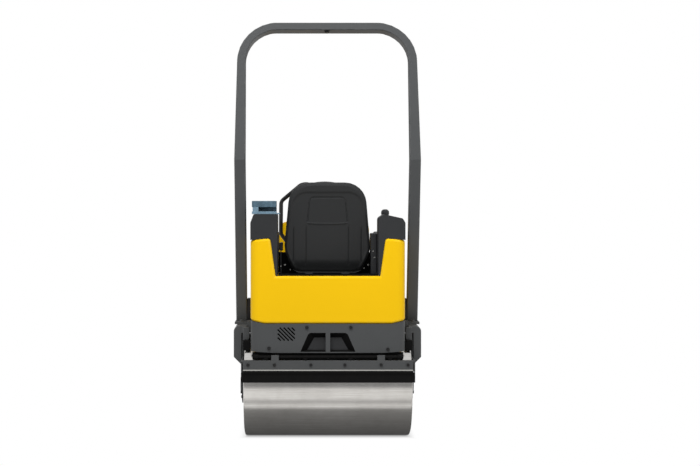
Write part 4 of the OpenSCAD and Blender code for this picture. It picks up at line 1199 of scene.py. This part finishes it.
# The steering stand and its instrument panel are black plastic over a steel post. The panel's sloping top
# carries a row of dials in bright bezels, the smallest of which is the start switch.
for node, width in (("dash_column", 0.012), ("dash_panel", 0.008)):
    finish_piece(softened(node, width, 3, 35), node + "_moulding", black_plastic, "rear_frame",
                 (node,))
PANEL_REAR = -0.075
PANEL_TOP_LOW = 1.140
PANEL_RISE = 0.050
PANEL_RUN = 0.150
PANEL_SLOPE = math.atan2(PANEL_RISE, PANEL_RUN)
PANEL_FACE = Vector((0, -math.sin(PANEL_SLOPE), math.cos(PANEL_SLOPE)))
DIAL_RUN = 0.055
DIALS = ((-0.135, 0.032), (-0.070, 0.024), (0.075, 0.024), (0.135, 0.018))
DIAL_STEPS = 40
BEZEL_LINE = ((0.84, 0.001), (0.88, 0.006), (0.96, 0.007), (1.0, 0.004), (1.0, -0.002))
GLASS_SHARES = (0.86, 0.80)
GLASS_HIGH = 0.0025
GLASS_WALL = 0.003
GLASS = (0.012, 0.013, 0.014, 1)
dial_glass = weathered("dial_glass", GLASS, BLACK_WORN, scale=60, depth=0.0001, patch=20.0, dusting=0.05,
                       wear=0.0, gloss=(0.06, 0.12))
bezels = bmesh.new()
glasses = bmesh.new()
for x, radius in DIALS:
    centre = Vector((x, PANEL_REAR + DIAL_RUN, PANEL_TOP_LOW + DIAL_RUN * math.tan(PANEL_SLOPE)))
    turn = Matrix.Translation(centre) @ along(PANEL_FACE)
    turn_outline(bezels, [(radius * share, height) for share, height in BEZEL_LINE], turn, DIAL_STEPS)
    add_disc(glasses, turn @ Matrix.Translation((0, 0, GLASS_HIGH)),
             [radius * share for share in GLASS_SHARES], GLASS_WALL, DIAL_STEPS)
close_up(bezels)
finish_piece(bezels, "dial_bezels", chrome, "rear_frame")
finish_piece(glasses, "dial_glasses", dial_glass, "rear_frame")

# The steering wheel has a steel rim and spokes under a moulded black grip, with finger notches below the
# rim and a cap over the nut.
WHEEL_SPOT = (0, -0.090, 1.322)
WHEEL_TILT = math.radians(30)
WHEEL_PLACE = Matrix.Translation(WHEEL_SPOT) @ Matrix.Rotation(WHEEL_TILT, 4, "X")
RIM_RADIUS = 0.174
RIM_STEPS = 120
GRIP_RADIUS = 0.0128
GRIP_STEPS = 16
NOTCHES = 40
NOTCH_DEEP = 0.16
SPOKES = (90, 210, 330)
SPOKE_RADII = (0.011, 0.008)
SPOKE_LONG = 0.142
SPOKE_MIDDLE = 0.101
SPOKE_FLAT = 0.7
SPOKE_STEPS = 20
WHEEL_HUB_STEPS = 40
WHEEL_HUB_LINE = ((0.0107, -0.0148), (0.030, -0.0148), (0.0355, -0.010), (0.0355, 0.010), (0.030, 0.020),
                  (0.016, 0.0245), (0.0, 0.0248))
wheel = bmesh.new()
grip = Matrix.Translation((RIM_RADIUS, 0, 0)) @ Matrix.Rotation(math.pi / 2, 4, "X")
rim_start = bmesh.ops.create_circle(wheel, cap_ends=False, segments=GRIP_STEPS, radius=GRIP_RADIUS,
                                    matrix=grip)
bmesh.ops.spin(wheel, geom=rim_start["verts"] + wheel.edges[:], cent=(0, 0, 0), axis=(0, 0, 1),
               angle=math.tau, steps=RIM_STEPS, use_merge=True)
bmesh.ops.remove_doubles(wheel, verts=wheel.verts, dist=1e-6)
for point in wheel.verts:
    if point.co.z < 0:
        angle = math.atan2(point.co.y, point.co.x)
        point.co.z *= 1 - NOTCH_DEEP * (0.5 + 0.5 * math.cos(angle * NOTCHES))
for turn in SPOKES:
    spoke = Matrix.Rotation(math.radians(turn), 4, "Z") @ Matrix.Translation((SPOKE_MIDDLE, 0, 0))
    bar = add_disc(wheel, spoke @ along((1, 0, 0)), SPOKE_RADII, SPOKE_LONG, SPOKE_STEPS)
    bmesh.ops.scale(wheel, vec=(1, 1, SPOKE_FLAT), verts=bar["verts"])
turn_outline(wheel, WHEEL_HUB_LINE, Matrix.Identity(4), WHEEL_HUB_STEPS)
close_up(wheel)
bmesh.ops.transform(wheel, matrix=WHEEL_PLACE, verts=wheel.verts)
finish_piece(wheel, "steering_wheel_grip", black_plastic, "wheel", ("steering_wheel",), 50)

# The grab bar is one length of bent steel tube, painted black. It is welded to the stand and to the front of
# the panel.
dress(black_paint, "grab_bar")

# The travel lever is a ball knob on an upright stem with a rubber boot, on the low cap of the right console.
# Knob, stem and boot are turned on one line.
LEVER_STEPS = 48
LEVER_LINE = (
    (0.0295, 0.0003), (0.0295, 0.004), (0.026, 0.0068), (0.021, 0.010), (0.022, 0.013), (0.016, 0.017),
    (0.017, 0.021), (0.012, 0.026), (0.0085, 0.034), (0.0085, 0.086), (0.0135, 0.0875), (0.0205, 0.0935),
    (0.0235, 0.104), (0.0225, 0.1165), (0.0165, 0.1250), (0.0080, 0.1283), (0.0, 0.1287),
)
low, high = corners("travel_lever")
lever_foot = Vector(((low.x + high.x) / 2, (low.y + high.y) / 2, low.z))
lever = bmesh.new()
turn_outline(lever, LEVER_LINE, Matrix.Translation(lever_foot), LEVER_STEPS)
close_up(lever)
finish_piece(lever, "travel_lever_knob", black_plastic, "rear_frame", ("travel_lever",), 45)

# The holder is a blue-grey moulding on the left console: a base plate, a lip, a cheek on its left and a deep
# roof, round a slot that is open to the rear and to the right. The roof is the same plastic painted darker as
# painted shade.
HOLDER = (0.190, 0.290, 0.370, 1)
HOLDER_ROOF_SHADED = (0.095, 0.160, 0.212, 1)
HOLDER_WORN = (0.24, 0.35, 0.44, 1)
holder_plastic = weathered("holder_plastic", HOLDER, HOLDER_WORN, scale=600, depth=0.0006, shine=0.25,
                           patch=40.0, dusting=0.05, wear=0.3, gloss=(0.46, 0.6), patchy=0.15)
shaded_holder_roof = weathered("shaded_holder_roof", HOLDER_ROOF_SHADED, HOLDER_WORN, scale=600, depth=0.0006, shine=0.25,
                        patch=60.0, dusting=0.05, wear=0.3, gloss=(0.46, 0.6), patchy=0.35)
holder_low, holder_high = corners("document_holder")
HOLDER_BASE = 0.0065
HOLDER_LIP = 0.009
HOLDER_ROOF = 0.034
HOLDER_CHEEK = (0.004, 0.036)
HOLDER_BACK = 0.008
HOLDER_LAP = 0.001
CASE_SET = (0.005, 0.006)
CASE_SHORT = 0.020
CASE_LONG = 0.125
case_low = Vector((holder_low.x, holder_low.y + CASE_SET[0], holder_low.z + CASE_SET[1]))
case_high = Vector((holder_high.x - CASE_SHORT, holder_low.y + CASE_LONG, holder_high.z))
roof = case_high.z - HOLDER_ROOF
lip = case_low.z + HOLDER_LIP
holder = bmesh.new()
for low, high in (
    (holder_low, (holder_high.x, holder_high.y, holder_low.z + HOLDER_BASE)),
    (case_low, (case_high.x, case_high.y, lip)),
    ((case_low.x + HOLDER_CHEEK[0], case_low.y, lip - HOLDER_LAP),
     (case_low.x + HOLDER_CHEEK[1], case_high.y, roof + HOLDER_LAP)),
    ((case_low.x, case_high.y - HOLDER_BACK, lip - HOLDER_LAP),
     (case_high.x, case_high.y, roof + HOLDER_LAP)),
):
    add_box(holder, low, high, 0.002)
finish_piece(holder, "document_holder_moulding", holder_plastic, "rear_frame",
             ("document_holder",))
lid = bmesh.new()
add_box(lid, (case_low.x, case_low.y, roof), case_high, 0.003)
finish_piece(lid, "document_holder_roof", shaded_holder_roof, "rear_frame")

# The engine stands on the front deck: a cast iron block with cooling ribs, a head with a cover and a round
# air filter, in front of a sheet steel firewall.
IRON = (0.055, 0.055, 0.057, 1)
IRON_WORN = (0.12, 0.12, 0.12, 1)
engine_iron = weathered("engine_iron", IRON, IRON_WORN, scale=220, depth=0.0012, metal=0.5, patch=12.0,
                        dusting=0.4, wear=0.5, gloss=(0.5, 0.7))
finish_piece(softened("engine_block", 0.006, 2), "engine_casting", engine_iron, "front_frame",
             ("engine_block",))
finish_piece(softened("firewall", 0.002, 2), "firewall_sheet", yellow_body, "front_frame",
             ("firewall",))
RIBS = 9
RIB_WALL = 0.006
RIB_OUT = 0.012
RIB_Z = (0.030, 0.180)
low, high = corners("engine_block")
ribs = bmesh.new()
for side in (-1, 1):
    across = sorted((side * high.x, side * (high.x + RIB_OUT)))
    for i in range(RIBS):
        y = low.y + (high.y - low.y) * (i + 0.5) / RIBS
        add_box(ribs, (across[0], y - RIB_WALL / 2, low.z + RIB_Z[0]),
                (across[1], y + RIB_WALL / 2, low.z + RIB_Z[1]), 0.0015)
finish_piece(ribs, "engine_ribs", engine_iron, "front_frame")

# Two work lamps stand at the front corners of the deck: black cups on square stalks, each with a ribbed
# clear lens in a bright ring.
# The lens's ribs are painted in light and shaded bands.
LENS = (0.75, 0.77, 0.78, 1)
LENS_SHADED = (0.50, 0.52, 0.54, 1)
lamp_lens, tree, surface = shader("lamp_lens")
surface.inputs["Metallic"].default_value = 0.55
place = put(tree, "ShaderNodeTexCoord")
flutes = put(tree, "ShaderNodeTexWave", Scale=22.0, Distortion=0.4, bands_direction="X")
cells = put(tree, "ShaderNodeTexNoise", Scale=60.0, Detail=3.0)
lens_rib_shading = put(tree, "ShaderNodeMix", data_type="RGBA")
lens_rib_shading.inputs[6].default_value = LENS_SHADED
lens_rib_shading.inputs[7].default_value = LENS
lens_gloss = put(tree, "ShaderNodeMapRange", To_Min=0.08, To_Max=0.2)
relief = put(tree, "ShaderNodeBump", Strength=0.6, Distance=0.0015)
wire(tree, (
    (place.outputs["Object"], flutes.inputs["Vector"]),
    (place.outputs["Object"], cells.inputs["Vector"]),
    (flutes.outputs["Fac"], lens_rib_shading.inputs["Factor"]),
    (lens_rib_shading.outputs[2], surface.inputs["Base Color"]),
    (cells.outputs["Fac"], lens_gloss.inputs["Value"]),
    (lens_gloss.outputs["Result"], surface.inputs["Roughness"]),
    (flutes.outputs["Fac"], relief.inputs["Height"]),
    (relief.outputs["Normal"], surface.inputs["Normal"]),
))
CUP_RADIUS = 0.044
CUP_LINE = ((0.0, 0.0), (0.020, 0.0), (0.034, 0.010), (0.0435, 0.028), (0.0435, 0.060), (0.041, 0.066),
            (0.0, 0.066))
LAMP_RING_LINE = ((0.036, 0.066), (0.0405, 0.066), (0.0435, 0.064), (0.0438, 0.0685), (0.041, 0.0698),
                  (0.036, 0.0675))
LENS_RADII = (0.038, 0.034)
LENS_DEEP = 0.004
LENS_OUT = 0.0672
LAMP_STEPS = 40
LAMP_STALK_HALF = 0.012
LAMP_STALK_SET = 0.035
LAMP_STALK_LAP = 0.004
low, high = corners("headlamps")
cups = bmesh.new()
rings = bmesh.new()
lenses = bmesh.new()
for side in (-1, 1):
    x = side * (high.x - CUP_RADIUS)
    turn = Matrix.Translation((x, low.y, high.z - CUP_RADIUS)) @ along((0, 1, 0))
    turn_outline(cups, CUP_LINE, turn, LAMP_STEPS)
    turn_outline(rings, LAMP_RING_LINE, turn, LAMP_STEPS, True)
    add_disc(lenses, turn @ Matrix.Translation((0, 0, LENS_OUT)), LENS_RADII, LENS_DEEP, LAMP_STEPS)
    y = low.y + LAMP_STALK_SET
    add_box(cups, (x - LAMP_STALK_HALF, y - LAMP_STALK_HALF, low.z),
            (x + LAMP_STALK_HALF, y + LAMP_STALK_HALF, high.z - 2 * CUP_RADIUS + LAMP_STALK_LAP), 0.003)
close_up(cups)
close_up(rings)
finish_piece(cups, "headlamp_cups", black_plastic, "front_frame", ("headlamps",))
finish_piece(rings, "headlamp_rings", chrome, "front_frame")
finish_piece(lenses, "headlamp_lenses", lamp_lens, "front_frame")

# The exhaust is bare steel tube beside the hood, browned by heat. Its foot stands on the deck. A black disc
# in its open mouth is soot and painted shade inside the tube.
EXHAUST = (0.30, 0.25, 0.21, 1)
EXHAUST_WORN = (0.42, 0.36, 0.30, 1)
RUST = (0.20, 0.13, 0.08, 1)
exhaust_steel = weathered("exhaust_steel", EXHAUST, EXHAUST_WORN, scale=200, depth=0.0006, metal=0.8,
                          patch=14.0, dusting=0.5, wear=0.0, gloss=(0.42, 0.62), dust=RUST)
dress(exhaust_steel, "exhaust_pipe")
MOUTH_WAY = Vector((0, -1, 1)).normalized()
MOUTH_RADIUS = 0.022
MOUTH_PROUD = 0.0003
MOUTH_SHARES = (0.9, 0.86)
MOUTH_WALL = 0.002
MOUTH_STEPS = 40
low, high = corners("exhaust_pipe")
mouth_spot = Vector(((low.x + high.x) / 2, low.y + MOUTH_RADIUS * MOUTH_WAY.z,
                     high.z - MOUTH_RADIUS * MOUTH_WAY.z))
SOOT_AND_SHADE = (0.006, 0.006, 0.006, 1)
soot_and_shade = weathered("soot_and_shade", SOOT_AND_SHADE, BLACK_WORN, scale=120, depth=0.0008, patch=30.0, dusting=0.1, wear=0.0,
                 gloss=(0.85, 0.95))
mouth = bmesh.new()
add_disc(mouth, Matrix.Translation(mouth_spot + MOUTH_WAY * MOUTH_PROUD) @ along(MOUTH_WAY),
         [MOUTH_RADIUS * share for share in MOUTH_SHARES], MOUTH_WALL, MOUTH_STEPS)
finish_piece(mouth, "exhaust_mouth", soot_and_shade, "front_frame")

# The hood is a yellow moulding over the engine, hinged at its front edge. It has a black grille in its nose
# with a shallow screen behind it, black louvres on its sides and a pull latch at each rear corner.
finish_piece(softened("hood_shell", 0.006, 3, 35), "hood_moulding", yellow_body, "hood",
             ("hood_shell",))
dress(black_plastic, "hood_grille")
SCREEN_DEEP = 0.016
SCREEN_WALL = 0.002
low, high = corners("hood_grille")
back = low.y - SCREEN_DEEP
screen = bmesh.new()
for start, end in (
    ((low.x, back, low.z), (high.x, back + SCREEN_WALL, high.z)),
    ((low.x, back, low.z), (low.x + SCREEN_WALL, low.y, high.z)),
    ((high.x - SCREEN_WALL, back, low.z), (high.x, low.y, high.z)),
    ((low.x, back, low.z), (high.x, low.y, low.z + SCREEN_WALL)),
    ((low.x, back, high.z - SCREEN_WALL), (high.x, low.y, high.z)),
):
    add_box(screen, start, end, 0.0005)
finish_piece(screen, "hood_grille_screen", black_rubber, "hood")
HOOD_LOUVRES = 6
HOOD_LOUVRE_SIZE = (0.010, 0.150, 0.018, 1)
HOOD_LOUVRE_TILT = math.radians(18)
HOOD_LOUVRE_PLACE = Vector((0.002, 0.30, 0.12))
HOOD_LOUVRE_PITCH = 0.032
LATCH_WALL = 0.014
LATCH_PLACE = Vector((0.006, 0.045, 0.07))
LATCH_PARTS = ((0.0, 0.030, 0.050), (0.045, 0.021, 0.0275))
low, high = corners("hood_shell")
louvres = bmesh.new()
latches = bmesh.new()
for side in (-1, 1):
    for i in range(HOOD_LOUVRES):
        spot = Vector((side * (high.x + HOOD_LOUVRE_PLACE.x), low.y + HOOD_LOUVRE_PLACE.y,
                       low.z + HOOD_LOUVRE_PLACE.z + i * HOOD_LOUVRE_PITCH))
        bmesh.ops.create_cube(louvres, size=1.0, matrix=Matrix.Translation(spot)
                              @ Matrix.Rotation(side * HOOD_LOUVRE_TILT, 4, "Y")
                              @ Matrix.Diagonal(HOOD_LOUVRE_SIZE))
    for rise, long, tall in LATCH_PARTS:
        spot = Vector((side * (high.x + LATCH_PLACE.x), low.y + LATCH_PLACE.y, low.z + LATCH_PLACE.z + rise))
        half = Vector((LATCH_WALL, long, tall)) / 2
        add_box(latches, spot - half, spot + half, 0.003, 3)
round_edges(louvres, louvres.edges[:], 0.003, 3)
finish_piece(louvres, "hood_louvres", black_plastic, "hood")
finish_piece(latches, "hood_latches", black_rubber, "hood")
